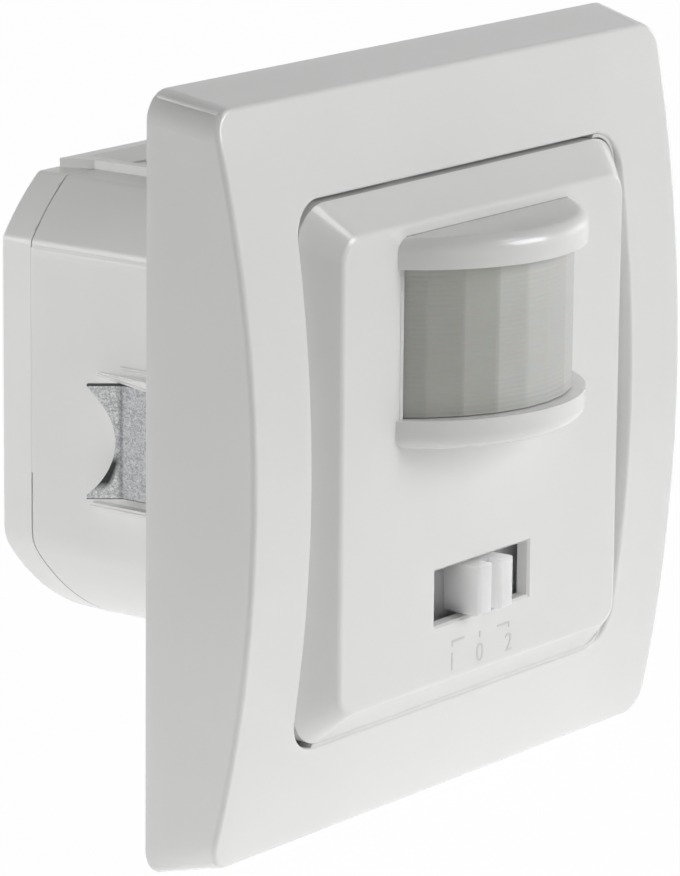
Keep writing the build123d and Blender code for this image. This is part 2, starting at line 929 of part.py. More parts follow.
def switch_knob():
    plate_outline = Rectangle(2 * knob_plate_half_width, 2 * knob_plate_half_height)
    plate = prism(Pos(0, switch_height) * plate_outline, knob_plate_back, knob_plate_front)
    grip_outline = Rectangle(2 * knob_half_width, 2 * knob_half_height)
    grip = prism(Pos(0, switch_height) * grip_outline, knob_plate_front, knob_front)
    groove = block(
        (-knob_groove_half, knob_front - overrun, switch_height - knob_half_height - overrun),
        (knob_groove_half, knob_front + knob_groove_depth, switch_height + knob_half_height + overrun),
    )
    grip -= groove
    front_edges = [e for e in grip.edges() if abs(e.center().Y - knob_front) < knob_round]
    grip = fillet(front_edges, knob_round)
    knob = plate + grip
    return knob - switch_slider()


# Centre cover with hood, lip, lens opening and switch window
def cover_block(half, front_half, radius, front_radius, skirt_end, foot, front):
    skirt = prism(square(half, radius), -skirt_end, -foot)
    back = front_plane(-foot) * square(half, radius)
    nose = front_plane(-front) * square(front_half, front_radius)
    return skirt + loft([back, nose], ruled=True)


def hood_segment(low, high, top):
    """Part of a disc that stands out of the front face, rounded on one side."""
    disc = rod_z(hood_radius, low, high, 0, hood_centre_y)
    reach = hood_radius + overrun
    room = block(
        (-reach, -cover_front - hood_radius, low - overrun),
        (reach, -cover_inner_front, high + overrun),
    )
    segment = disc & room
    level = high if top else low
    curved = [
        e
        for e in segment.edges().filter_by(GeomType.CIRCLE)
        if abs(e.center().Z - level) < hood_round / 2
    ]
    return fillet(curved, hood_round)


def centre_cover():
    foot = cover_foot
    shell = cover_block(
        cover_half,
        cover_front_half,
        cover_corner_radius,
        cover_front_corner_radius,
        cover_skirt_end,
        foot,
        cover_front,
    )
    nose = shell.faces().sort_by(Axis.Y)[0]
    shell = fillet(nose.edges(), cover_edge_radius)
    lean = cover_wall * (math.sqrt(2) - 1)
    inner_foot = foot - lean
    inner_half = cover_half - cover_wall
    inner_front_half = inner_half - (cover_inner_front - inner_foot)
    hollow = cover_block(
        inner_half,
        inner_front_half,
        cover_corner_radius - cover_wall,
        cover_front_corner_radius - cover_wall,
        cover_skirt_end - overrun,
        inner_foot,
        cover_inner_front,
    )
    shell -= hollow
    shell += hood_segment(hood_bottom, hood_bottom + hood_height, True)
    shell += hood_segment(lens_bottom - lip_height, lens_bottom, False)
    lens_hole = rod_z(lens_radius + lens_clearance, lens_bottom, hood_bottom, 0, lens_centre_y)
    front_zone = block(
        (-inner_half, -cover_front - hood_radius, lens_bottom - overrun),
        (inner_half, -inner_foot, hood_bottom + overrun),
    )
    shell -= lens_hole & front_zone
    shell -= switch_window()
    for turn in (0, 90, 180, 270):
        rib = block(
            (-cover_rib_half, -foot, inner_half - cover_rib_height),
            (cover_rib_half, -cover_skirt_end, inner_half + cover_wall / 2),
        )
        shell += Rot(0, turn, 0) * rib
    return shell


def switch_window():
    half_width = switch_window_half_width
    half_height = switch_window_half_height
    place = Pos(0, switch_height)
    hole = prism(
        place * Rectangle(2 * half_width, 2 * half_height),
        -cover_inner_front + overrun,
        -cover_front - overrun,
    )
    bevel = switch_window_chamfer
    wide = place * Rectangle(2 * (half_width + bevel), 2 * (half_height + bevel))
    narrow = place * Rectangle(2 * half_width, 2 * half_height)
    mouth = loft([front_plane(-cover_front) * wide, front_plane(-cover_front + bevel) * narrow], ruled=True)
    return hole + mouth


# Lens and its retainer
def lens():
    low = lens_bottom + lens_clearance
    high = hood_bottom - lens_clearance
    shell = rod_z(lens_radius, low, high, 0, lens_centre_y)
    shell -= rod_z(lens_radius - lens_thickness, low - overrun, high + overrun, 0, lens_centre_y)
    flange_front = -cover_inner_front + lens_clearance
    flange_back = flange_front + lens_flange_thickness
    shell &= block(
        (-lens_radius, lens_centre_y - lens_radius - overrun, low),
        (lens_radius, flange_back, high),
    )
    flange = block(
        (-lens_flange_half, flange_front, low - lens_flange_margin),
        (lens_flange_half, flange_back, high + lens_flange_margin),
    )
    bore = rod_z(lens_radius - lens_thickness, low, high, 0, lens_centre_y)
    return shell + (flange - bore)


def lens_retainer():
    low = lens_bottom + lens_clearance - lens_flange_margin
    high = hood_bottom - lens_clearance + lens_flange_margin
    flange_back = -cover_inner_front + lens_clearance + lens_flange_thickness
    back = flange_back + lens_clearance + retainer_thickness
    reach = lens_flange_half + retainer_margin
    ring = block(
        (-reach, -cover_inner_front, low - retainer_margin),
        (reach, back, high + retainer_margin),
    )
    gap = lens_clearance
    ring -= block(
        (-lens_flange_half - gap, -cover_inner_front - overrun, low - gap),
        (lens_flange_half + gap, flange_back + gap, high + gap),
    )
    sight = lens_flange_half - lens_flange_margin - retainer_margin
    ring -= block(
        (-sight, -cover_inner_front, lens_bottom),
        (sight, back + overrun, hood_bottom),
    )
    return ring


# Claws, one outline bent from sheet, drawn for the right side
def claw_sheet_piece():
    middle_x = claw_inner_x + claw_sheet / 2
    angle = math.radians(claw_flare_angle)
    tip_x = middle_x + claw_flare_length * math.sin(angle)
    tip_y = claw_crease + claw_flare_length * math.cos(angle)
    path = FilletPolyline(
        (claw_pin_x, claw_pin_y),
        (middle_x, claw_pin_y),
        (middle_x, claw_crease),
        (tip_x, tip_y),
        radius=claw_bend_radius,
    )
    band = trace(path, claw_sheet)
    sheet = slab(band, -claw_height_half, claw_height_half)
    barrel = rod_z(claw_barrel_radius, -claw_height_half, claw_height_half, claw_pin_x, claw_pin_y)
    sheet += barrel
    bore = claw_pin_radius + claw_pin_clearance
    sheet -= rod_z(bore, -claw_height_half - overrun, claw_height_half + overrun, claw_pin_x, claw_pin_y)
    slot_half = claw_screw_radius + claw_slot_extra
    side_half = claw_screw_radius + claw_slot_side
    sheet -= block(
        (claw_screw_x - slot_half, claw_pin_y - claw_barrel_radius, -side_half),
        (claw_screw_x + slot_half, claw_pin_y + claw_barrel_radius, side_half),
    )
    bite_y = tip_y - claw_bite_depth + claw_bite_radius
    bite = rod_x(claw_bite_radius, middle_x - claw_sheet, tip_x + claw_flare_length, bite_y, 0)
    return sheet - bite


def claw(side):
    piece = claw_sheet_piece()
    return piece if side > 0 else mirrored(piece)


def claw_pin(side):
    half = pocket_half_height + pocket_wall
    return rod_z(claw_pin_radius, -half, half, side * claw_pin_x, claw_pin_y)


def claw_screw(side):
    screw = slotted_screw(claw_screw_radius, claw_head_radius, claw_head_height, claw_screw_length)
    return Pos(side * claw_screw_x, plate_front, 0) * (Rot(90, 0, 0) * screw)


def save(name, shape):
    """Write one node, with its shape as plain solids."""
    solids = shape.solids()
    whole = solids[0] if len(solids) == 1 else Compound(children=list(solids))
    export_step(whole, f"parts/{name}.step")


def main():
    os.makedirs("parts", exist_ok=True)
    save("cover_frame", cover_frame())
    save("mounting_plate", mounting_plate())
    save("housing_body", housing_body())
    save("rear_cap", rear_cap())
    save("terminal_block", terminal_block())
    save("terminal_lid", terminal_lid())
    save("terminal_bars", Compound(children=[terminal_bar(x) for x in pole_places()]))
    for number, x in enumerate(pole_places(), 1):
        save(f"terminal_clamp_{number}", terminal_clamp(x))
        save(f"terminal_screw_{number}", terminal_screw(x))
    save("carrier_frame", carrier_frame())
    save("carrier_screws", fixing_screws())
    save("main_board", main_board())
    save("relay", relay())
    save("film_capacitor", film_capacitor())
    save("smoothing_capacitor", smoothing_capacitor())
    save("varistor", varistor())
    save("fuse_resistor", fuse_resistor())
    save("board_link_pins", link_pins())
    save("front_board", front_board())
    save("pyro_sensor", pyro_sensor())
    save("pyro_window", pyro_window())
    save("light_sensor", light_sensor())
    save("control_chip", control_chip())
    save("slide_switch_body", slide_switch_body())
    save("switch_slider", switch_slider())
    save("switch_knob", switch_knob())
    save("time_trimmer_body", trimmer_body(-1))
    save("time_dial", trimmer_dial(-1))
    save("light_trimmer_body", trimmer_body(1))
    save("light_dial", trimmer_dial(1))
    save("centre_cover", centre_cover())
    save("lens", lens())
    save("lens_retainer", lens_retainer())
    for side, word in ((-1, "left"), (1, "right")):
        save(f"claw_{word}", claw(side))
        save(f"claw_pin_{word}", claw_pin(side))
        save(f"claw_screw_{word}", claw_screw(side))


main()
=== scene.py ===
# %% [markdown]
# A flush wall switch that senses motion. A square cover frame with a bowed front holds a centre
# cover with a curved lens under a hood, and a small slide switch below it. Behind the wall plane
# sits a box housing with spreading claws, a relay board and a row of screw terminals. The shapes
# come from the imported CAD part, which stays as it is. This script gives every piece the finish of
# the real material, adds the fine detail that is too small for the CAD part, and lights it like a
# product picture.

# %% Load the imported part
import json
import math
import bmesh
import bpy
from mathutils import Matrix, Vector


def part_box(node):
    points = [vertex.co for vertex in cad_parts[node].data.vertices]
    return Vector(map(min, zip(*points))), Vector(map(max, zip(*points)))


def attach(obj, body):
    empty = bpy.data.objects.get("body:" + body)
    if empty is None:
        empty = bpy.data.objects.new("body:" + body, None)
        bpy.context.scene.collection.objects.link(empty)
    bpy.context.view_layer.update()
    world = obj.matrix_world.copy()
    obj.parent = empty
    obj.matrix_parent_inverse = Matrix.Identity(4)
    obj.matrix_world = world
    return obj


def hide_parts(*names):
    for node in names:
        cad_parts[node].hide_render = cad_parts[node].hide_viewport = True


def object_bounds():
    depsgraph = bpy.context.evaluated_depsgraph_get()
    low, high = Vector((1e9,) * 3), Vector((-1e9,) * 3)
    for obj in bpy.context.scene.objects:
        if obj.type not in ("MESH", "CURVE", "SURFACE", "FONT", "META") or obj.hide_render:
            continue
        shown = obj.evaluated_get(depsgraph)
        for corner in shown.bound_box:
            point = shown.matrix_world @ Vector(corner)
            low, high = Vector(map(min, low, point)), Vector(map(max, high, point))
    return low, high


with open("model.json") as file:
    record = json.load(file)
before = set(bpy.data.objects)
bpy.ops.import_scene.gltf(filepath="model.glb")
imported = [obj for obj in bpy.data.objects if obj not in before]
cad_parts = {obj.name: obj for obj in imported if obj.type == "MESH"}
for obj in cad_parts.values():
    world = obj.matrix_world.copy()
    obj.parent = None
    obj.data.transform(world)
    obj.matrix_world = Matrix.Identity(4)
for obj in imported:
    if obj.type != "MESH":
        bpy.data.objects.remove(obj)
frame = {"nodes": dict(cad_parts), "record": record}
cad_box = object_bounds()
nodes = frame["nodes"]

# %% [markdown]
# The part is drawn in millimetres and Blender works in metres, so one value turns the one into
# the other. Some small pieces are placed by the corners of the CAD node that carries them.

# %% Units and corners
mm = 0.001


def corners(node):
    """Lowest and highest corner of a node at rest, in millimetres."""
    low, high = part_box(node)
    return low / mm, high / mm


cover_low, cover_high = corners("centre_cover")
print("centre cover", [round(v, 2) for v in cover_low], [round(v, 2) for v in cover_high])

# %% [markdown]
# The camera comes first, because everything is judged from there. The picture was taken with a
# long lens from the left and a little above: the angles below were found by matching the corners
# of the frame and the cover. A long lens keeps the square nearly square, so the focal length
# matters as much as the angle.

# %% Camera
view_yaw = math.radians(53.132)
view_pitch = math.radians(13.197)
view_roll = math.radians(0.59)
view_distance = 550.845
view_aside = -4.911
view_above = -1.748
focal_pixels = 5260.6
picture_height = 876
sensor_height = 36.0

backwards = Vector((
    -math.sin(view_yaw) * math.cos(view_pitch),
    -math.cos(view_yaw) * math.cos(view_pitch),
    math.sin(view_pitch),
))
level_right = (-backwards).cross(Vector((0, 0, 1))).normalized()
level_up = level_right.cross(-backwards)
camera_right = level_right * math.cos(view_roll) + level_up * math.sin(view_roll)
camera_up = level_up * math.cos(view_roll) - level_right * math.sin(view_roll)
camera_place = backwards * view_distance + camera_right * view_aside + camera_up * view_above

camera_data = bpy.data.cameras.new("product_camera")
camera_data.lens = focal_pixels / picture_height * sensor_height
camera_data.sensor_width = sensor_height
camera = bpy.data.objects.new("product_camera", camera_data)
turn = Matrix((camera_right, camera_up, backwards)).transposed()
camera.matrix_world = Matrix.LocRotScale(camera_place * mm, turn.to_quaternion(), None)
bpy.context.scene.collection.objects.link(camera)
bpy.context.scene.camera = camera
print("camera lens", round(camera_data.lens, 1), "mm")

# %% [markdown]
# Materials are small node trees. Colours are written as sRGB hex, as one would pick them from a
# picture, and one function turns them to the linear values that Cycles wants. Another adds a node
# with its settings and its links, so each finish reads as a short list.

# %% Helpers for materials


def linear(hex_colour):
    """An sRGB hex colour as linear red, green, blue and full alpha."""
    channels = [int(hex_colour[i:i + 2], 16) / 255 for i in (1, 3, 5)]
    bent = [c / 12.92 if c <= 0.04045 else ((c + 0.055) / 1.055) ** 2.4 for c in channels]
    return (*bent, 1.0)


def add(tree, kind, links=(), **settings):
    """A new node. Settings are sockets by name, or attributes.

    Links are triples: a socket of the new node, the other node, and that node's output.
    """
    node = tree.nodes.new(kind)
    for name, value in settings.items():
        socket = node.inputs.get(name.replace("_", " "))
        if socket is not None and not hasattr(node, name):
            socket.default_value = value
        else:
            setattr(node, name, value)
    for socket, other, output in links:
        tree.links.new(other.outputs[output], node.inputs[socket])
    return node


# The Mix node has a pair of inputs for each kind of data, under the same names. These are the
# places of its colours.
mix_first = 6
mix_second = 7
mix_result = 2


def new_material(name):
    """An empty material with its shader, its output and Object coordinates."""
    material = bpy.data.materials.new(name)
    material.use_nodes = True
    tree = material.node_tree
    tree.nodes.clear()
    shader = add(tree, "ShaderNodeBsdfPrincipled")
    add(tree, "ShaderNodeOutputMaterial", [("Surface", shader, "BSDF")])
    place = add(tree, "ShaderNodeTexCoord")
    return material, tree, shader, place


def set_shader(shader, **values):
    """Plain numbers and colours, set on the shader's own sockets."""
    for name, value in values.items():
        shader.inputs[name.replace("_", " ")].default_value = value


def noise(tree, place, size_mm, detail=2.0, roughness=0.5):
    """Soft noise whose blotches are about size_mm across."""
    return add(
        tree, "ShaderNodeTexNoise", [("Vector", place, "Object")],
        Scale=1 / (size_mm * mm), Detail=detail, Roughness=roughness,
    )


def colour_between(tree, factor, output, first, second, low=0.3, high=0.7):
    """Two hex colours, mixed by a pattern."""
    ramp = add(tree, "ShaderNodeValToRGB", [("Fac", factor, output)])
    ramp.color_ramp.elements[0].position = low
    ramp.color_ramp.elements[0].color = linear(first)
    ramp.color_ramp.elements[1].position = high
    ramp.color_ramp.elements[1].color = linear(second)
    return ramp


def value_between(tree, factor, output, low, high):
    """A number that runs from low to high as the pattern does."""
    return add(
        tree, "ShaderNodeMapRange", [("Value", factor, output)],
        To_Min=low, To_Max=high,
    )


def relief(tree, shader, pattern, output, height_mm, strength=1.0):
    """A bump whose full height is height_mm."""
    bump = add(
        tree, "ShaderNodeBump", [("Height", pattern, output)],
        Strength=strength, Distance=height_mm * mm,
    )
    tree.links.new(bump.outputs["Normal"], shader.inputs["Normal"])
    return bump


print("linear white", [round(v, 3) for v in linear("#FFFFFF")])

# %% [markdown]
# The cover frame and the centre cover are polycarbonate, injection moulded in a polished tool.
# Its surface is glossy, yet not a mirror: the skin shrinks a little as it cools, which leaves a
# very low and slow waviness, and handling leaves the gloss uneven. The colour is a neutral white
# with almost no variation. Light enters such a white plastic a little way, which fills the shade
# in narrow places; the small knob shows it most. The knob is also painted a little whiter than
# the cover, a painted light that lifts its shade in the switch window. The same function gives
# the polished edges of the housing and the painted shade in the corner of the hood.

# %% Glossy moulded polycarbonate
polycarbonate_ior = 1.58
cloud_mm = 18.0
handling_mm = 6.0


def moulded_polycarbonate(
    name, bright, dull, gloss_low, gloss_high, wave_mm, wave_height_mm, depth_mm, share,
):
    """Gloss runs between two roughnesses; light goes depth_mm deep, and share of it scatters."""
    material, tree, shader, place = new_material(name)
    blotches = noise(tree, place, cloud_mm)
    colour = colour_between(tree, blotches, "Fac", dull, bright)
    tree.links.new(colour.outputs["Color"], shader.inputs["Base Color"])
    handling = noise(tree, place, handling_mm, detail=4.0)
    gloss = value_between(tree, handling, "Fac", gloss_low, gloss_high)
    tree.links.new(gloss.outputs["Result"], shader.inputs["Roughness"])
    waves = noise(tree, place, wave_mm)
    relief(tree, shader, waves, "Fac", wave_height_mm)
    set_shader(
        shader, IOR=polycarbonate_ior, Subsurface_Weight=share,
        Subsurface_Scale=depth_mm * mm, Subsurface_Radius=(1.0, 1.0, 1.0),
    )
    return material


white_gloss = moulded_polycarbonate(
    "glossy_polycarbonate", "#EBEBEA", "#E9E9E8", gloss_low=0.19, gloss_high=0.24,
    wave_mm=9.0, wave_height_mm=0.003, depth_mm=1.2, share=0.3,
)
edge_gloss = moulded_polycarbonate(
    "polished_abs_edge", "#F6F6F4", "#F3F3F1", gloss_low=0.16, gloss_high=0.22,
    wave_mm=4.0, wave_height_mm=0.002, depth_mm=0.8, share=0.15,
)
# A grey copy: painted shade for the corner at the root of the hood.
corner_shade = moulded_polycarbonate(
    "painted_shade_polycarbonate", "#B2B2B0", "#A6A6A4", gloss_low=0.4, gloss_high=0.5,
    wave_mm=1.0, wave_height_mm=0.002, depth_mm=0.5, share=0.1,
)
# The knob is painted a little whiter than the cover: painted light that lifts its shade in the
# switch window.
knob_gloss = moulded_polycarbonate(
    "knob_polycarbonate", "#F9F9F8", "#F7F7F6", gloss_low=0.26, gloss_high=0.32,
    wave_mm=3.0, wave_height_mm=0.002, depth_mm=9.0, share=1.0,
)
print("made", white_gloss.name, "and", knob_gloss.name)

# %% [markdown]
# The housing is a cheaper white ABS. Nobody sees it once the switch is in the wall, so its tool
# was only finely spark eroded: the skin has a fine grain of some tenths of a millimetre and a
# satin sheen. The grain is drawn at 0.35 mm, a little coarser than the real one, so that it shows
# at all.

# %% Satin spark eroded ABS
abs_ior = 1.54
patch_mm = 12.0
grain_mm = 0.35
grain_height_mm = 0.006


def eroded_abs(name, bright, dull):
    material, tree, shader, place = new_material(name)
    blotches = noise(tree, place, patch_mm, detail=3.0)
    colour = colour_between(tree, blotches, "Fac", dull, bright)
    tree.links.new(colour.outputs["Color"], shader.inputs["Base Color"])
    grain = noise(tree, place, grain_mm, detail=1.0)
    gloss = value_between(tree, blotches, "Fac", low=0.28, high=0.36)
    tree.links.new(gloss.outputs["Result"], shader.inputs["Roughness"])
    relief(tree, shader, grain, "Fac", grain_height_mm, strength=0.6)
    set_shader(shader, IOR=abs_ior)
    return material


housing_satin = eroded_abs("satin_abs", "#F5F5F3", "#F2F2F0")
# The rear cap is a copy painted a little lighter than the body, a painted light for how the light
# falls on it.
cap_satin = eroded_abs("satin_abs_cap", "#FBFBF9", "#F8F8F6")
print("made", housing_satin.name, "and", cap_satin.name)

# %% [markdown]
# The lens is pressed from polyethylene, which lets body heat through and looks like milky wax.
# Light goes in a little way and comes out again, so it gets some subsurface scattering. Upright
# bands are pressed into it, each a lens field of its own thickness. Each band gets a grey of
# painted shade for the way it turns from the light: lighter for the bands that face the front,
# darker towards the sides. A radial gradient round the lens axis gives the angle, and a stepped
# ramp turns it into the greys. A light relief stands for the fine grooves that the pressing tool
# leaves between its ribs.

# %% Milky polyethylene
lens_low, lens_high = corners("lens")
lens_inset = 0.4
lens_radius = lens_high.x - lens_inset
lens_axis_y = lens_low.y + lens_radius
band_degrees = 12.3
first_band_edge = -57.6
# Painted shade for each band: lighter where it faces the front, darker towards the sides.
band_shade_greys = [
    "#B0B1AB", "#B1B2AC", "#B8B9B3", "#C4C5C1", "#C8C9C5",
    "#C1C2BF", "#C0C1BE", "#BCBDB9", "#B8B9B4", "#B1B2AC",
]
front_on_ramp = 0.25
milk_mm = 5.0
milk_share = 0.1
press_groove_pitch = 0.9
press_groove_height = 0.01


def milky_polyethylene(name):
    material, tree, shader, place = new_material(name)
    centred = add(
        tree, "ShaderNodeMapping", [("Vector", place, "Object")],
        Location=(0.0, -lens_axis_y * mm, 0.0),
    )
    sweep = add(
        tree, "ShaderNodeTexGradient", [("Vector", centred, "Vector")],
        gradient_type="RADIAL",
    )
    bands = add(tree, "ShaderNodeValToRGB", [("Fac", sweep, "Fac")])
    bands.color_ramp.interpolation = "CONSTANT"
    stops = bands.color_ramp.elements
    for i, grey in enumerate(band_shade_greys):
        place_on_ramp = front_on_ramp + (first_band_edge + band_degrees * i) / 360
        stop = stops[i] if i < 2 else stops.new(place_on_ramp)
        stop.position = place_on_ramp
        stop.color = linear(grey)
    clouds = noise(tree, place, milk_mm, detail=3.0)
    cloud_grey = colour_between(tree, clouds, "Fac", "#A9AAA5", "#CBCCC8")
    colour = add(
        tree, "ShaderNodeMix", [(mix_first, bands, "Color"), (mix_second, cloud_grey, "Color")],
        data_type="RGBA", Factor=milk_share,
    )
    tree.links.new(colour.outputs[mix_result], shader.inputs["Base Color"])
    grooves = add(
        tree, "ShaderNodeTexWave", [("Vector", place, "Object")],
        wave_type="BANDS", bands_direction="Z",
        Scale=1 / (press_groove_pitch * mm * math.tau), Distortion=0.4,
    )
    relief(tree, shader, grooves, "Fac", press_groove_height, strength=0.5)
    set_shader(
        shader, IOR=1.53, Roughness=0.42, Subsurface_Weight=0.25, Subsurface_Scale=0.6 * mm,
    )
    return material


lens_wax = milky_polyethylene("milky_polyethylene")
print("made", lens_wax.name)

# %% [markdown]
# The claws are cut from hot dip galvanised sheet. As the zinc freezes it grows flat crystals, the
# spangle, and each one throws light back at its own brightness. On such thin sheet they are fine,
# some 0.3 mm, and cell noise gives them with their own grey and their own gloss. A band of painted
# shade runs along the crease, broken up by noise, and a crescent of painted shadow lies beside the
# bite. Zinc in air also grows a dull grey skin, so the metal is mixed with a matt part. The flare
# behind the crease turns away from the lamps and is painted lighter, a painted light. Thin painted
# shadow runs along the top and bottom edges, for the shade in the gaps at the rails, and a thin
# painted highlight runs along the cut edge of the bite, on its upper part.

# %% Galvanised sheet
crease_y = 15.4
# Painted shade along the crease, broken up by noise.
crease_shade_core = 0.02
crease_shade_reach = 0.12
crease_shade_patch_mm = 1.3
crease_shade_low = 0.56
crease_shade_high = 0.64
# Over this width behind the crease the flare turns painted lighter, a painted light.
flare_light_fade = 0.3
bite_middle_y = 22.6
bite_slant = 0.777
bite_radius = 7.9
# A crescent of painted shadow beside the bite.
shadow_crescent_core = 1.1
shadow_crescent_reach = 1.6
shadow_crescent_top = -1.0
shadow_crescent_shoulder = -2.2
shadow_crescent_foot = -4.2
shadow_crescent_bottom = -5.2
# A thin painted highlight along the cut edge of the bite, fading out below.
highlight_rim_core = 0.25
highlight_rim_reach = 0.4
highlight_rim_low = -2.0
claw_half = 6.0
# Thin painted shadow along the top and bottom edges, for the shade in the gaps at the rails.
edge_shadow_core = 0.05
edge_shadow_reach = 0.11
specks_per_spangle = 2.5
speck_share = 0.6
# The colour of the painted highlight on the bite's cut edge, then the grey of the painted shade and
# shadow.
painted_highlight_grey = "#F2F3F3"
painted_shade_grey = "#3B3D3E"


def painted_shade_and_highlight(tree, place):
    """Two masks: painted shade at the crease, the top and bottom edges and a crescent, and a
    painted highlight along the bite.
    """
    parts = add(tree, "ShaderNodeSeparateXYZ", [("Vector", place, "Object")])
    across = add(tree, "ShaderNodeMath", [(0, parts, "Y")], operation="SUBTRACT")
    across.inputs[1].default_value = crease_y * mm
    from_crease = add(tree, "ShaderNodeMath", [(0, across, 0)], operation="ABSOLUTE")
    # Painted shade along the crease, broken up by noise.
    band = add(
        tree, "ShaderNodeMapRange", [("Value", from_crease, 0)],
        From_Min=crease_shade_core * mm, From_Max=crease_shade_reach * mm, To_Min=1.0, To_Max=0.0,
    )
    blotches = noise(tree, place, crease_shade_patch_mm, detail=6.0, roughness=0.8)
    broken = add(
        tree, "ShaderNodeMapRange", [("Value", blotches, "Fac")],
        From_Min=crease_shade_low, From_Max=crease_shade_high,
    )
    crease = add(
        tree, "ShaderNodeMath", [(0, band, "Result"), (1, broken, "Result")],
        operation="MULTIPLY",
    )
    # A crescent of painted shadow beside the bite, in its lower half.
    round_bite = add(
        tree, "ShaderNodeMapping", [("Vector", place, "Object")],
        Location=(0.0, -bite_middle_y / bite_slant * mm, 0.0), Scale=(0.0, 1 / bite_slant, 1.0),
    )
    reach = add(tree, "ShaderNodeVectorMath", [(0, round_bite, "Vector")], operation="LENGTH")
    rim = add(
        tree, "ShaderNodeMapRange", [("Value", reach, "Value")],
        From_Min=(bite_radius + shadow_crescent_core) * mm, From_Max=(bite_radius + shadow_crescent_reach) * mm,
        To_Min=1.0, To_Max=0.0,
    )
    below = add(
        tree, "ShaderNodeMapRange", [("Value", parts, "Z")],
        From_Min=shadow_crescent_top * mm, From_Max=shadow_crescent_shoulder * mm,
    )
    above = add(
        tree, "ShaderNodeMapRange", [("Value", parts, "Z")],
        From_Min=shadow_crescent_bottom * mm, From_Max=shadow_crescent_foot * mm,
    )
    height = add(
        tree, "ShaderNodeMath", [(0, below, "Result"), (1, above, "Result")],
        operation="MULTIPLY",
    )
    crescent = add(
        tree, "ShaderNodeMath", [(0, rim, "Result"), (1, height, 0)],
        operation="MULTIPLY",
    )
    # Thin painted shadow along the top and bottom edges.
    from_middle = add(tree, "ShaderNodeMath", [(0, parts, "Z")], operation="ABSOLUTE")
    edge_shadow = add(
        tree, "ShaderNodeMapRange", [("Value", from_middle, 0)],
        From_Min=(claw_half - edge_shadow_reach) * mm, From_Max=(claw_half - edge_shadow_core) * mm,
    )
    lines = add(
        tree, "ShaderNodeMath", [(0, crease, 0), (1, edge_shadow, "Result")],
        operation="MAXIMUM",
    )
    # This mask is all painted shade: the crease, the top and bottom edges and the crescent.
    dull = add(tree, "ShaderNodeMath", [(0, lines, 0), (1, crescent, 0)], operation="MAXIMUM")
    # A thin painted highlight along the bite's cut edge, on its upper part.
    highlight_band = add(
        tree, "ShaderNodeMapRange", [("Value", reach, "Value")],
        From_Min=(bite_radius + highlight_rim_core) * mm, From_Max=(bite_radius + highlight_rim_reach) * mm,
        To_Min=1.0, To_Max=0.0,
    )
    upper = add(
        tree, "ShaderNodeMapRange", [("Value", parts, "Z")],
        From_Min=highlight_rim_low * mm, From_Max=0.0,
    )
    rim_highlight = add(
        tree, "ShaderNodeMath", [(0, highlight_band, "Result"), (1, upper, "Result")],
        operation="MULTIPLY",
    )
    return dull, rim_highlight


def galvanised_sheet(name, dark, bright, lightened_flare_dark, lightened_flare_bright, spangle_mm):
    material, tree, shader, place = new_material(name)
    crystals = add(
        tree, "ShaderNodeTexVoronoi", [("Vector", place, "Object")],
        Scale=1 / (spangle_mm * mm),
    )
    specks = add(
        tree, "ShaderNodeTexVoronoi", [("Vector", place, "Object")],
        Scale=specks_per_spangle / (spangle_mm * mm),
    )
    mixed = add(
        tree, "ShaderNodeMix", [(mix_first, crystals, "Color"), (mix_second, specks, "Color")],
        data_type="RGBA", Factor=speck_share,
    )
    grey = add(tree, "ShaderNodeRGBToBW", [("Color", mixed, mix_result)])
    flat_zinc = colour_between(tree, grey, "Val", dark, bright, low=0.25, high=0.75)
    # A lighter copy of the zinc for the flare behind the crease: painted light for a face that
    # turns from the lamps.
    lightened_flare_zinc = colour_between(tree, grey, "Val", lightened_flare_dark, lightened_flare_bright, low=0.25, high=0.75)
    parts = add(tree, "ShaderNodeSeparateXYZ", [("Vector", place, "Object")])
    bent = add(
        tree, "ShaderNodeMapRange", [("Value", parts, "Y")],
        From_Min=crease_y * mm, From_Max=(crease_y + flare_light_fade) * mm,
    )
    both = [(mix_first, flat_zinc, "Color"), (mix_second, lightened_flare_zinc, "Color")]
    zinc = add(
        tree, "ShaderNodeMix", [("Factor", bent, "Result"), *both],
        data_type="RGBA",
    )
    # Painted shade and a painted highlight are laid over the zinc here.
    dull, rim_highlight = painted_shade_and_highlight(tree, place)
    zinc_with_highlight = add(
        tree, "ShaderNodeMix", [("Factor", rim_highlight, 0), (mix_first, zinc, mix_result)],
        data_type="RGBA",
    )
    zinc_with_highlight.inputs[mix_second].default_value = linear(painted_highlight_grey)
    colour = add(
        tree, "ShaderNodeMix", [("Factor", dull, 0), (mix_first, zinc_with_highlight, mix_result)],
        data_type="RGBA",
    )
    colour.inputs[mix_second].default_value = linear(painted_shade_grey)
    tree.links.new(colour.outputs[mix_result], shader.inputs["Base Color"])
    gloss = value_between(tree, grey, "Val", low=0.5, high=0.7)
    tree.links.new(gloss.outputs["Result"], shader.inputs["Roughness"])
    relief(tree, shader, grey, "Val", height_mm=0.008, strength=0.5)
    set_shader(shader, Metallic=0.55)
    return material


zinc_spangle = galvanised_sheet(
    "galvanised_steel", dark="#8C8E90", bright="#BFC0C1",
    lightened_flare_dark="#AFB1B2", lightened_flare_bright="#EFF0F0", spangle_mm=0.3,
)
print("made", zinc_spangle.name)

# %% [markdown]
# Screws, hinge pins and the mounting plate are zinc plated. The plating is thin and bright, with
# a slight blue cast, and follows the rolled or turned metal below, so a faint streak in one
# direction is enough.

# %% Zinc plated steel
streak_stretch = 0.08


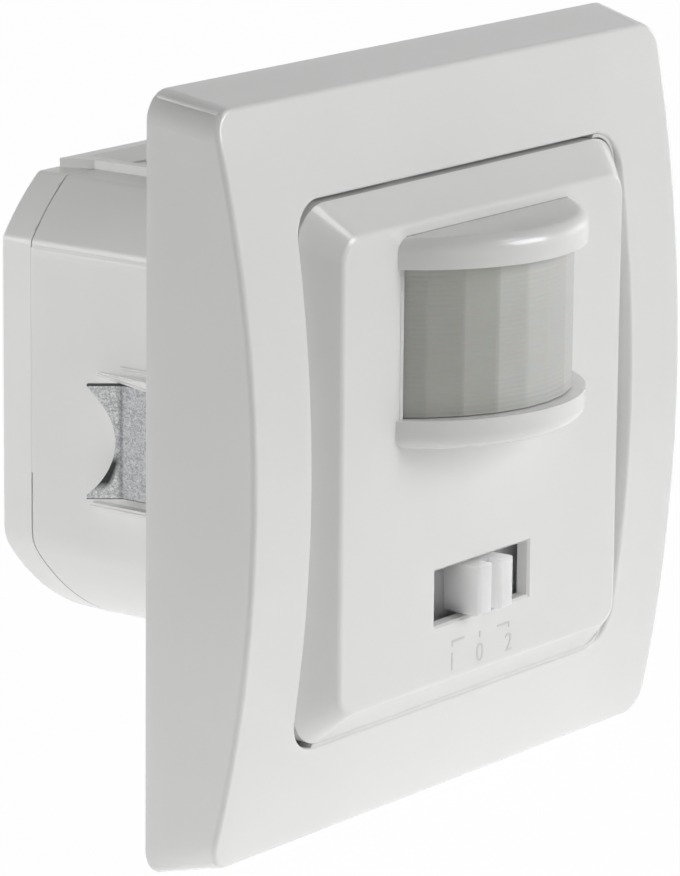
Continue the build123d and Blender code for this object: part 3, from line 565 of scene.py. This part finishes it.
def plated_steel(name, dark, bright, streak_mm):
    material, tree, shader, place = new_material(name)
    stretched = add(
        tree, "ShaderNodeMapping", [("Vector", place, "Object")],
        Scale=(1.0, 1.0, streak_stretch),
    )
    streaks = add(
        tree, "ShaderNodeTexNoise", [("Vector", stretched, "Vector")],
        Scale=1 / (streak_mm * mm), Detail=3.0,
    )
    colour = colour_between(tree, streaks, "Fac", dark, bright)
    tree.links.new(colour.outputs["Color"], shader.inputs["Base Color"])
    gloss = value_between(tree, streaks, "Fac", low=0.24, high=0.38)
    tree.links.new(gloss.outputs["Result"], shader.inputs["Roughness"])
    relief(tree, shader, streaks, "Fac", height_mm=0.003)
    set_shader(shader, Metallic=1.0)
    return material


zinc_plate = plated_steel("zinc_plated_steel", "#B4B7B9", "#D3D5D6", streak_mm=0.4)
sensor_nickel = plated_steel("nickel_plated_can", "#BDB7A4", "#D2CCBA", streak_mm=0.6)
brass_strip = plated_steel("pressed_brass", "#B58E45", "#D8B56C", streak_mm=0.5)
print("made", zinc_plate.name, sensor_nickel.name, brass_strip.name)

# %% [markdown]
# The boards are glass fibre laminate under a green lacquer. Where copper runs below the lacquer
# the green is lighter and stands a little proud. A brick pattern gives such tracks, 0.5 mm wide
# in rows 1.27 mm apart.

# %% Lacquered circuit board
board_grid_mm = 2.54


def lacquered_board(name, over_laminate, over_copper):
    material, tree, shader, place = new_material(name)
    turned = add(
        tree, "ShaderNodeMapping", [("Vector", place, "Object")],
        Rotation=(math.pi / 2, 0.0, 0.0),
    )
    tracks = add(
        tree, "ShaderNodeTexBrick", [("Vector", turned, "Vector")],
        Scale=1 / (board_grid_mm * mm), Mortar_Size=0.09, Mortar_Smooth=0.1,
        Brick_Width=3.5, Row_Height=0.5,
        Color1=linear("#000000"), Color2=linear("#000000"), Mortar=linear("#FFFFFF"),
    )
    colour = colour_between(tree, tracks, "Color", over_laminate, over_copper, low=0.2, high=0.8)
    tree.links.new(colour.outputs["Color"], shader.inputs["Base Color"])
    relief(tree, shader, tracks, "Color", height_mm=0.03)
    set_shader(shader, Roughness=0.3, Coat_Weight=0.4, Coat_Roughness=0.15)
    return material


green_board = lacquered_board("lacquered_board", "#1B4F2C", "#2E7443")
print("made", green_board.name)

# %% [markdown]
# The small parts on the boards differ in how they were coated. Dipped parts, such as the film
# capacitor and the varistor, are glossy and slightly lumpy. Moulded parts, such as the relay and
# the chip, are matt with a fine grain. One function serves both, with the size and height of the
# lumps as its arguments. Only the clear dome of the light sensor, which is cast in epoxy, needs a
# function of its own.

# %% Coatings and mouldings of the small parts


def coated(name, dark, bright, rough, lump_mm, height_mm, ior=1.5):
    material, tree, shader, place = new_material(name)
    lumps = noise(tree, place, lump_mm, detail=3.0)
    colour = colour_between(tree, lumps, "Fac", dark, bright)
    tree.links.new(colour.outputs["Color"], shader.inputs["Base Color"])
    gloss = value_between(tree, lumps, "Fac", rough - 0.05, rough + 0.05)
    tree.links.new(gloss.outputs["Result"], shader.inputs["Roughness"])
    relief(tree, shader, lumps, "Fac", height_mm)
    set_shader(shader, IOR=ior)
    return material


def clear_epoxy(name, tint):
    material, tree, shader, place = new_material(name)
    swirl = noise(tree, place, size_mm=1.5)
    gloss = value_between(tree, swirl, "Fac", low=0.02, high=0.08)
    tree.links.new(gloss.outputs["Result"], shader.inputs["Roughness"])
    set_shader(shader, Base_Color=linear(tint), Transmission_Weight=0.9, IOR=1.5)
    return material


# Each coating: its name, its dark and its bright colour, its roughness, the size and the height of
# its lumps in millimetres and, where it differs from most plastics, its IOR.
relay_case = coated("relay_moulding", "#1B2A45", "#20304E", 0.45, 0.4, 0.01)
film_dip = coated("film_capacitor_dip", "#96301C", "#A83A22", 0.22, 3.0, 0.08)
can_sleeve = coated("shrunk_pvc_sleeve", "#17181F", "#1E1F28", 0.25, 4.0, 0.04)
varistor_dip = coated("varistor_dip", "#1C3A70", "#23457F", 0.3, 2.5, 0.08)
resistor_coat = coated("cement_coat", "#70877B", "#7D9488", 0.5, 1.0, 0.04)
filter_glass = coated("silicon_filter", "#181416", "#201A1D", 0.08, 3.0, 0.001, 2.2)
black_moulding = coated("black_pbt", "#121213", "#19191A", 0.5, 0.35, 0.01, 1.55)
cream_nylon = coated("cream_nylon", "#D6CFBC", "#DDD7C6", 0.42, 0.8, 0.01, 1.53)
clear_dome = clear_epoxy("clear_epoxy", "#EDEFE6")
print("made nine coatings")

# %% [markdown]
# The record names a material slot for every node. Each slot gets its finish here, in one table,
# and the CAD meshes are only repainted, never touched.

# %% Finishes of the CAD nodes
finishes = {
    "white_plastic": white_gloss,
    "housing_plastic": housing_satin,
    "lens_plastic": lens_wax,
    "zinc_steel": zinc_plate,
    "brass_strip": brass_strip,
    "circuit_board": green_board,
    "relay_case": relay_case,
    "capacitor_case": film_dip,
    "can_sleeve": can_sleeve,
    "varistor_coat": varistor_dip,
    "resistor_coat": resistor_coat,
    "sensor_can": sensor_nickel,
    "sensor_glass": filter_glass,
    "black_plastic": black_moulding,
    "clear_plastic": clear_dome,
    "trimmer_plastic": cream_nylon,
}
own_finish = {
    "claw_left": zinc_spangle,
    "claw_right": zinc_spangle,
    "switch_knob": knob_gloss,
    "rear_cap": cap_satin,
}
for part in frame["record"]["subparts"]:
    name = part["node"]
    finish = own_finish.get(name, finishes[part["material_slot"]])
    nodes[name].data.materials.clear()
    nodes[name].data.materials.append(finish)

# %% [markdown]
# New pieces are made with bmesh. Each one is a small closed mesh drawn in millimetres; one
# function scales it to metres, turns the normals outwards, gives it its finish and hangs it on
# the body that carries it.

# %% Helper for a finished piece


def make_piece(name, bm, body, finish, smooth_degrees=30):
    """Turn a mesh drawn in millimetres into a piece that rides on a body."""
    bmesh.ops.scale(bm, vec=(mm, mm, mm), verts=bm.verts)
    bmesh.ops.recalc_face_normals(bm, faces=bm.faces)
    mesh = bpy.data.meshes.new(name)
    bm.to_mesh(mesh)
    bm.free()
    mesh.materials.append(finish)
    mesh.shade_smooth()
    mesh.set_sharp_from_angle(angle=math.radians(smooth_degrees))
    piece = bpy.data.objects.new(name, mesh)
    bpy.context.scene.collection.objects.link(piece)
    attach(piece, body)
    return piece


def add_box(bm, low, high, round_edge=0.0):
    """A block between two corners, its edges rounded, added to a mesh."""
    size = Vector(high) - Vector(low)
    middle = (Vector(high) + Vector(low)) / 2
    made = bmesh.ops.create_cube(bm, size=1.0, matrix=Matrix.LocRotScale(middle, None, size))
    if round_edge:
        edges = {e for v in made["verts"] for e in v.link_edges}
        bmesh.ops.bevel(
            bm, geom=list(edges), offset=round_edge, segments=2,
            profile=0.5, affect="EDGES", material=-1,
        )


print("helpers ready")

# %% [markdown]
# The lens is a sheet bent round a vertical axis. Up close it is a row of flat bands, each about
# 12 degrees wide, and each band is pressed with fine ribs that lie level. Spinning one upright
# row of points in as many steps as there are bands gives exactly that: every step is a flat band.
# Each band is spun from its own row, so that a fine upright groove is left between two bands.

# %% Lens with bands and ribs
flange_margin = 2.2
flange_thickness = 0.8
sheet_thickness = 0.6
rib_pitch = 0.5
rib_depth = 0.03
band_count = 9
end_degrees = 58.6
groove_degrees = 0.25
groove_depth = 0.012

sheet_low = lens_low.z + flange_margin
sheet_high = lens_high.z - flange_margin
print("lens sheet", round(sheet_high - sheet_low, 2), "mm high, radius", round(lens_radius, 2))


def rib_row(bm, degrees, radius):
    """One upright row of points with ribs, at an angle from the room's direction."""
    angle = math.radians(degrees)
    rib_count = round((sheet_high - sheet_low) / rib_pitch)
    row = []
    for i in range(2 * rib_count + 1):
        level = sheet_low + (sheet_high - sheet_low) * i / (2 * rib_count)
        reach = radius - rib_depth * (i % 2)
        aside = reach * math.sin(angle)
        row.append(bm.verts.new((aside, lens_axis_y - reach * math.cos(angle), level)))
    return [bm.edges.new(pair) for pair in zip(row, row[1:])]


def band_edges():
    """The angles at which the sheet starts, changes band and ends."""
    inner = [first_band_edge + band_degrees * i for i in range(band_count + 1)]
    return [-end_degrees] + [a for a in inner if abs(a) < end_degrees] + [end_degrees]


def lens_sheet():
    """The outer skin, band after band with a groove between, then thickened inwards."""
    bm = bmesh.new()
    rows = [rib_row(bm, -end_degrees, lens_radius)]
    for edge in band_edges()[1:-1]:
        rows.append(rib_row(bm, edge - groove_degrees, lens_radius))
        rows.append(rib_row(bm, edge, lens_radius - groove_depth))
        rows.append(rib_row(bm, edge + groove_degrees, lens_radius))
    rows.append(rib_row(bm, end_degrees, lens_radius))
    for left, right in zip(rows, rows[1:]):
        bmesh.ops.bridge_loops(bm, edges=left + right)
    bmesh.ops.recalc_face_normals(bm, faces=bm.faces)
    if sum(f.normal.y for f in bm.faces) > 0:
        bmesh.ops.reverse_faces(bm, faces=bm.faces)
    bmesh.ops.solidify(bm, geom=bm.faces[:], thickness=sheet_thickness)
    return bm


lens_piece = make_piece(
    "lens_sheet", lens_sheet(), "cover", lens_wax, smooth_degrees=12,
)
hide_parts("lens")
print("lens bands end at", [round(a, 1) for a in band_edges()])

# %% [markdown]
# Behind the front of the cover the sheet widens to a flat flange, which the retainer presses
# against the cover. It is a plate with a window: a block is inset once, and the middle is taken
# out by deleting both inner faces and bridging the two holes.

# %% Flange of the lens
# A direction of length one lies along an axis when its share on that axis is above this.
along_axis = 0.9


def cut_window(bm, margin):
    """A window through a flat plate that stands across Y, with a margin left all round."""
    facing = [f for f in bm.faces if abs(f.normal.y) > along_axis]
    bmesh.ops.inset_region(bm, faces=[facing[0]], thickness=margin)
    bmesh.ops.inset_region(bm, faces=[facing[1]], thickness=margin)
    loops = [e for f in facing for e in f.edges]
    bmesh.ops.delete(bm, geom=facing, context="FACES_ONLY")
    bmesh.ops.bridge_loops(bm, edges=loops)


def lens_flange():
    bm = bmesh.new()
    add_box(bm, (lens_low.x, lens_high.y - flange_thickness, lens_low.z), lens_high)
    cut_window(bm, flange_margin)
    return bm


make_piece("lens_flange", lens_flange(), "cover", lens_wax)
print("flange", round(lens_high.x - lens_low.x, 1), "by", round(lens_high.z - lens_low.z, 1), "mm")

# %% [markdown]
# Under the switch window stand three marks with thin leader lines, one for each place of the
# knob. Here they are plain numerals. They are pad printed: ink lies on the plastic in a layer far
# thinner than paper. A text object gives the numerals; it is made a mesh before its place is set.

# %% Numerals and leader lines
ink_grey = coated("pad_printing_ink", "#CBCDCC", "#D4D6D5", 0.5, 0.5, 0.002)
ink_thickness = 0.03
face_front = -12.6
numeral_height = 2.0
font_size_per_height = 1.4
numeral_level = -23.7
numeral_places = {"1": -5.2, "0": -0.3, "2": 4.9}
line_width = 0.22
line_top = -20.5
line_bottom = -21.15
line_reach = 2.1


def numeral_mesh(mark):
    """A numeral as a thin flat mesh, in millimetres."""
    text = bpy.data.curves.new("numeral_" + mark, "FONT")
    text.body = mark
    text.size = numeral_height * font_size_per_height
    text.align_x = "CENTER"
    text.extrude = ink_thickness / 2
    holder = bpy.data.objects.new("numeral_" + mark, text)
    bpy.context.scene.collection.objects.link(holder)
    bpy.context.view_layer.update()
    mesh = bpy.data.meshes.new_from_object(holder)
    bpy.data.objects.remove(holder)
    return mesh


def printed_marks():
    bm = bmesh.new()
    for mark, x in numeral_places.items():
        mesh = numeral_mesh(mark)
        upright = Matrix.Rotation(math.pi / 2, 4, "X")
        mesh.transform(Matrix.Translation((x, face_front, numeral_level)) @ upright)
        bm.from_mesh(mesh)
        bpy.data.meshes.remove(mesh)
    half = line_width / 2
    back = face_front
    front = face_front - ink_thickness
    for mark, x in numeral_places.items():
        top = line_top if mark == "0" else line_top - line_width
        add_box(bm, (x - half, front, line_bottom), (x + half, back, top))
    left = numeral_places["1"]
    right = numeral_places["2"]
    add_box(bm, (left - half, front, line_top - line_width), (left + line_reach, back, line_top))
    add_box(bm, (right - line_reach, front, line_top - line_width), (right + half, back, line_top))
    return bm


make_piece("switch_marks", printed_marks(), "cover", ink_grey)
print("marks stand", ink_thickness, "mm proud of the cover")

# %% [markdown]
# Moulded parts are full of lines no wider than a hair: the rounded edge of a ledge that catches
# the light, the witness of a tool insert, the flash at a mould's parting line. A rod as thin as a
# wire, half sunk in the surface, gives such a line with its own light and shade. Each rod is a
# cone of equal radii between two points.

# %% Helper for hair lines
rod_sides = 10
rod_end_round = 0.5


def add_rods(bm, points, radius):
    """Thin rods from point to point, their ends rounded."""
    for start, end in zip(points, points[1:]):
        along = Vector(end) - Vector(start)
        halfway = (Vector(start) + Vector(end)) / 2
        place = Matrix.LocRotScale(halfway, along.to_track_quat("Z", "Y"), None)
        made = bmesh.ops.create_cone(
            bm, cap_ends=True, segments=rod_sides, radius1=radius, radius2=radius,
            depth=along.length, matrix=place,
        )
        edges = {e for v in made["verts"] for e in v.link_edges}
        rims = [e for e in edges if len({len(f.verts) for f in e.link_faces}) == 2]
        bmesh.ops.bevel(
            bm, geom=rims, offset=radius * rod_end_round, segments=2,
            profile=0.5, affect="EDGES", material=-1,
        )


print("hair lines ready")

# %% [markdown]
# The housing has a low raised band along each shoulder, with a second, fainter edge below it. On
# the left and on the right a pair of rails carries each claw, and their edges are rounded. Low on
# each side runs the parting line of the mould. All of it is drawn for the left side and mirrored.

# %% Lines of the housing
side_x = -23.3
shoulder_level = 18.35
band_height = 0.62
shoulder_front = 0.4
shoulder_rear = 28.75
band_proud = 0.06
band_sunk = 0.3
band_round = 0.03
shoulder_radius = 0.56
shoulder_inset = 0.5
shoulder_rise = 0.15
shoulder_x = side_x + shoulder_inset
shoulder_z = shoulder_level + shoulder_rise
# Each edge of the left side: the radius of its rod, and the points that the rod runs through.
edge_rods = {
    "round of the shoulder": (
        shoulder_radius,
        [(shoulder_x, shoulder_front, shoulder_z), (shoulder_x, shoulder_rear, shoulder_z)],
    ),
    "lower edge of the upper rail": (
        0.16, [(-23.4, 19.9, 6.22), (-26.15, 11.3, 6.22), (-26.15, 2.2, 6.22)],
    ),
    "upper edge of the upper rail": (
        0.12, [(-24.2, 17.6, 6.6), (-26.15, 11.3, 7.0), (-26.15, 2.2, 7.0)],
    ),
    "root of the upper rail": (0.1, [(-23.75, 16.2, 7.3), (-23.75, 2.2, 7.3)]),
    "lower rail": (0.16, [(-24.25, 20.3, -7.6), (-24.25, 2.2, -7.6)]),
    "parting line": (0.07, [(-18.4, 25.3, -17.5), (-18.4, 4.0, -17.5)]),
    "chamfer of the cap": (0.12, [(-22.55, 29.1, 20.05), (-18.3, 29.1, 24.5)]),
}


def mirrored(bm):
    """The mesh and its mirror image on the other side of the part."""
    every = bm.verts[:] + bm.edges[:] + bm.faces[:]
    bmesh.ops.mirror(bm, geom=every, merge_dist=-1, axis="X")
    return bm


def shoulder_bands():
    bm = bmesh.new()
    add_box(
        bm, (side_x - band_proud, shoulder_front, shoulder_level - band_height),
        (side_x + band_sunk, shoulder_rear, shoulder_level), band_round,
    )
    return mirrored(bm)


def housing_edges():
    bm = bmesh.new()
    for radius, points in edge_rods.values():
        add_rods(bm, points, radius)
    return mirrored(bm)


make_piece("shoulder_bands", shoulder_bands(), "base", housing_satin)
make_piece("housing_edges", housing_edges(), "base", edge_gloss)
print("shoulder band", band_height, "mm high and", len(edge_rods), "edges on each side")

# %% [markdown]
# The rear cap is welded on. Along the straight sides and on the raised plate the weld has filled
# the seam almost flush, while at the shoulders and round the belly it stays open. Blocks inside
# the seam, a little below the surface, stand for the weld.

# %% Weld in the cap seam
seam_front = 28.7
seam_rear = 29.1
weld_low = -5.6
weld_high = 18.4
weld_sunk = 0.03
weld_deep = 1.2
weld_round = 0.02
plate_weld_low = (-12.97, seam_front, 25.0)
plate_weld_high = (-11.6, seam_rear, 26.16)


def cap_weld():
    bm = bmesh.new()
    add_box(
        bm, (side_x + weld_sunk, seam_front, weld_low),
        (side_x + weld_deep, seam_rear, weld_high), weld_round,
    )
    add_box(bm, plate_weld_low, plate_weld_high, weld_round)
    return mirrored(bm)


make_piece("cap_weld", cap_weld(), "base", housing_satin)
print("weld from", weld_low, "to", weld_high, "mm")

# %% [markdown]
# On the near upper corner of the cover frame the round of the side ends in a crisp edge where it
# meets the top, and that edge catches the light. A rod sunk nearly to its middle in the rounded
# corner gives the edge.

# %% Crisp edge of the frame
frame_edge = [(-38.68, -0.28, 39.43), (-37.23, -6.6, 38.13)]
frame_edge_radius = 0.22


def frame_edge_line():
    bm = bmesh.new()
    add_rods(bm, frame_edge, frame_edge_radius)
    return bm


make_piece("frame_edge_line", frame_edge_line(), "frame", edge_gloss)
print("edge from", frame_edge[0], "to", frame_edge[1])

# %% [markdown]
# The centre cover hangs a little low in its opening, as such covers do, so its gap is wide above
# and nearly closed below. A narrow rib on the wall of the opening, just behind the surface,
# closes the gap below and at the side away from the camera. It is a plate with a window whose
# upper part is cut away.

# %% Rib in the opening of the frame
opening_half = 28.25
opening_radius = 4.0
rib_width = 0.35
rib_front = -9.1
rib_rear = -7.0
rib_sunk = 0.02
rib_cut_point = (-24.5, 0, -28)
rib_cut_direction = (-1.16, 0, 1)


def opening_rib():
    bm = bmesh.new()
    half = opening_half + rib_sunk
    add_box(bm, (-half, rib_front, -half), (half, rib_rear, half))
    steps = [(e, (e.verts[0].co - e.verts[1].co).normalized()) for e in bm.edges]
    corner_edges = [e for e, step in steps if abs(step.y) > along_axis]
    bmesh.ops.bevel(
        bm, geom=corner_edges, offset=opening_radius, segments=8,
        profile=0.5, affect="EDGES", material=-1,
    )
    cut_window(bm, rib_width)
    every = bm.verts[:] + bm.edges[:] + bm.faces[:]
    cut = bmesh.ops.bisect_plane(
        bm, geom=every, plane_co=rib_cut_point, plane_no=rib_cut_direction, clear_outer=True,
    )
    open_edges = [e for e in cut["geom_cut"] if isinstance(e, bmesh.types.BMEdge)]
    bmesh.ops.holes_fill(bm, edges=open_edges)
    return bm


make_piece("opening_rib", opening_rib(), "frame", white_gloss)
print("rib", rib_width, "mm wide")

# %% [markdown]
# Two fine lines follow the hood: a dark one of painted shade in the corner where its top meets the
# face of the cover, and a light witness line beside the lens, where the tool insert that makes the
# opening met the rest of the tool.

# %% Lines round the hood
hood_top = 23.35
hood_low = 20.2
lip_top = 4.65
hood_half = 15.4
root_reach = hood_half - 1.2
root_level = hood_top + 0.02
root_radius = 0.075
opening_edge_x = -14.95
opening_edge_radius = 0.09
hair_gap = 0.1
hair_sunk = 0.03


def line_on_cover(start_x, start_z, end_x, end_z, radius):
    bm = bmesh.new()
    root = face_front + hair_sunk
    add_rods(bm, [(start_x, root, start_z), (end_x, root, end_z)], radius)
    return bm


hood_root = line_on_cover(-root_reach, root_level, root_reach, root_level, root_radius)
opening_edge = line_on_cover(
    opening_edge_x, lip_top - hair_gap, opening_edge_x, hood_low + hair_gap, opening_edge_radius,
)
# The line in the corner at the root of the hood is painted shade.
make_piece("hood_root_line", hood_root, "cover", corner_shade)
make_piece("opening_edge_line", opening_edge, "cover", white_gloss)
print("hood lines at", hood_top, "and", opening_edge_x, "mm")

# %% [markdown]
# The front board carries small chip capacitors and resistors, seen when the centre cover is
# pulled off. Each is a ceramic body with a tinned cap at either end and a fillet of solder at its
# foot. They stand between the larger parts, in rows as a pick and place machine sets them.

# %% Chips on the front board
chip_brown = coated("ceramic_tan", "#7C5F45", "#8E7054", 0.45, 0.6, 0.004)
chip_places = [(x, 3.4) for x in (-14.0, -10.5, -7.0, -3.5, 0.0, 3.5, 7.0, 10.5, 14.0)]
chip_places += [(x, 19.4) for x in (-12.0, -8.0, -4.0, 0.0, 4.0, 8.0, 12.0)]
chip_places += [(x, z) for z in (-1.5, -4.6, -7.7) for x in (-4.2, 0.0, 4.2)]
chip_places += [(13.6, z) for z in (8.2, 11.2, 14.2, 16.6)]
chip_long = 2.0
chip_wide = 1.25
chip_high = 0.6
cap_long = 0.4
board_front = corners("front_board")[0].y
body_lift = 0.05
body_round = 0.05
cap_lift = 0.02
cap_proud = 0.03
cap_round = 0.06
solder_reach = 0.3
solder_aside = 0.12
solder_high = 0.22
solder_sunk = 0.02
solder_round = 0.11


def chip_bodies(first):
    """Every other body, from the first or the second on."""
    bm = bmesh.new()
    for x, z in chip_places[first::2]:
        half = chip_long / 2 - cap_long / 2
        add_box(
            bm, (x - half, board_front - chip_high, z - chip_wide / 2),
            (x + half, board_front - body_lift, z + chip_wide / 2), body_round,
        )
    return bm


def chip_caps():
    bm = bmesh.new()
    for x, z in chip_places:
        for side in (-1, 1):
            inner = x + side * (chip_long / 2 - cap_long)
            outer = x + side * chip_long / 2
            foot = x + side * (chip_long / 2 + solder_reach)
            front = board_front - chip_high - cap_proud
            back = board_front - cap_lift
            add_box(
                bm, (min(inner, outer), front, z - chip_wide / 2 - cap_proud),
                (max(inner, outer), back, z + chip_wide / 2 + cap_proud), cap_round,
            )
            front = board_front - solder_high
            back = board_front + solder_sunk
            add_box(
                bm, (min(inner, foot), front, z - chip_wide / 2 - solder_aside),
                (max(inner, foot), back, z + chip_wide / 2 + solder_aside), solder_round,
            )
    return bm


make_piece("chip_capacitors", chip_bodies(0), "base", chip_brown)
make_piece("chip_resistors", chip_bodies(1), "base", black_moulding)
make_piece("chip_ends", chip_caps(), "base", sensor_nickel)
print(len(chip_places), "chips at", round(board_front, 2), "mm")

# %% [markdown]
# The part stands on a plain pale floor. For the camera the floor and the world are white, as in
# the picture; Light Path makes them so for the camera and for what is seen in gloss and through
# clear plastic, while the light that falls on the part stays at its own plain level.

# %% Floor and world
floor_half = 3000.0
floor_drop = 0.05
floor_mottle_mm = 40.0
white_share = 0.985


def seen_directly(tree):
    """1 for rays of the camera, and for what shows in gloss and through clear material."""
    path = add(tree, "ShaderNodeLightPath")
    first = add(
        tree, "ShaderNodeMath", [(0, path, "Is Camera Ray"), (1, path, "Is Glossy Ray")],
        operation="MAXIMUM",
    )
    return add(
        tree, "ShaderNodeMath", [(0, first, 0), (1, path, "Is Transmission Ray")],
        operation="MAXIMUM",
    )


def floor_material():
    material, tree, shader, place = new_material("pale_floor")
    mottle = noise(tree, place, floor_mottle_mm)
    colour = colour_between(tree, mottle, "Fac", "#F2F2F1", "#F5F5F4")
    tree.links.new(colour.outputs["Color"], shader.inputs["Base Color"])
    set_shader(shader, Roughness=0.9, Specular_IOR_Level=0.1)
    glow = add(tree, "ShaderNodeEmission", Color=linear("#FFFFFF"), Strength=1.0)
    seen = seen_directly(tree)
    share = add(tree, "ShaderNodeMath", [(0, seen, 0)], operation="MULTIPLY")
    share.inputs[1].default_value = white_share
    both = add(
        tree, "ShaderNodeMixShader",
        [("Fac", share, 0), (1, shader, "BSDF"), (2, glow, "Emission")],
    )
    output = next(n for n in tree.nodes if n.type == "OUTPUT_MATERIAL")
    tree.links.new(both.outputs["Shader"], output.inputs["Surface"])
    return material


def make_floor():
    bm = bmesh.new()
    bmesh.ops.create_grid(bm, x_segments=1, y_segments=1, size=floor_half * mm)
    mesh = bpy.data.meshes.new("floor")
    bm.to_mesh(mesh)
    bm.free()
    mesh.transform(Matrix.Translation((0, 0, cad_box[0].z - floor_drop * mm)))
    mesh.materials.append(floor_material())
    floor = bpy.data.objects.new("floor", mesh)
    bpy.context.scene.collection.objects.link(floor)
    return floor


make_floor()
print("floor at", round(cad_box[0].z / mm, 2), "mm")

# %% [markdown]
# The world is the light of the room round the studio. It is strongest near the horizon and fades
# to nothing overhead, because in the picture the faces that look up get the least light.

# %% World
world_level = 0.35
zenith_level = 0.0
zenith_reach = 0.8


def make_world():
    """White where it is seen; as a light, brighter near the horizon than overhead."""
    world = bpy.data.worlds.new("studio")
    bpy.context.scene.world = world
    world.use_nodes = True
    tree = world.node_tree
    tree.nodes.clear()
    place = add(tree, "ShaderNodeTexCoord")
    direction = add(tree, "ShaderNodeSeparateXYZ", [("Vector", place, "Generated")])
    sky = add(
        tree, "ShaderNodeMapRange", [("Value", direction, "Z")],
        From_Max=zenith_reach, To_Min=world_level, To_Max=zenith_level,
    )
    seen = seen_directly(tree)
    level = add(
        tree, "ShaderNodeMapRange", [("Value", seen, 0), ("To Min", sky, "Result")],
        To_Max=1.0,
    )
    light = add(
        tree, "ShaderNodeBackground", [("Strength", level, "Result")], Color=linear("#FFFFFF"),
    )
    add(tree, "ShaderNodeOutputWorld", [("Surface", light, "Background")])


make_world()
print("world level", world_level)

# %% [markdown]
# Soft studio light comes from four panels: one high at the front right, a weak low one at the
# front left, one behind the part at its left and one at its right. A narrow strip high in front
# gives the bright line on the upper left corner of the centre cover. The part also stands on a
# light table, a small panel that lies just above the floor and shines up, because in the picture
# the lower faces are brighter than the upper ones. The powers were found by rendering each lamp
# alone and fitting their sum to the greys of the picture.

# %% Light panels
middle = (0.0, 0.0, 0.0)
table_level = -40.02
# Each panel: its name, place, target, width and height in millimetres, and its power in watts.
panels = [
    ("front", (420.0, -690.0, 350.0), middle, 400.0, 400.0, 3.6),
    ("strip", (400.0, -554.0, 751.0), middle, 300.0, 60.0, 0.55),
    ("left_front", (-350.0, -700.0, -150.0), middle, 500.0, 500.0, 0.5),
    ("left_back", (-700.0, 600.0, 150.0), middle, 600.0, 600.0, 4.3),
    ("right", (1200.0, -250.0, 60.0), middle, 700.0, 500.0, 1.2),
    ("light_table", (0.0, 0.0, table_level), middle, 300.0, 300.0, 0.083),
]


def add_panel(name, place, target, width, height, power):
    light = bpy.data.lights.new("panel_" + name, "AREA")
    light.shape = "RECTANGLE"
    light.size = width * mm
    light.size_y = height * mm
    light.energy = power
    panel = bpy.data.objects.new("panel_" + name, light)
    turn = (Vector(place) - Vector(target)).to_track_quat("Z", "Y")
    panel.matrix_world = Matrix.LocRotScale(Vector(place) * mm, turn, None)
    panel.visible_camera = False
    bpy.context.scene.collection.objects.link(panel)


for panel in panels:
    add_panel(*panel)
bpy.context.scene.view_settings.view_transform = "Standard"
print(len(panels), "light panels")
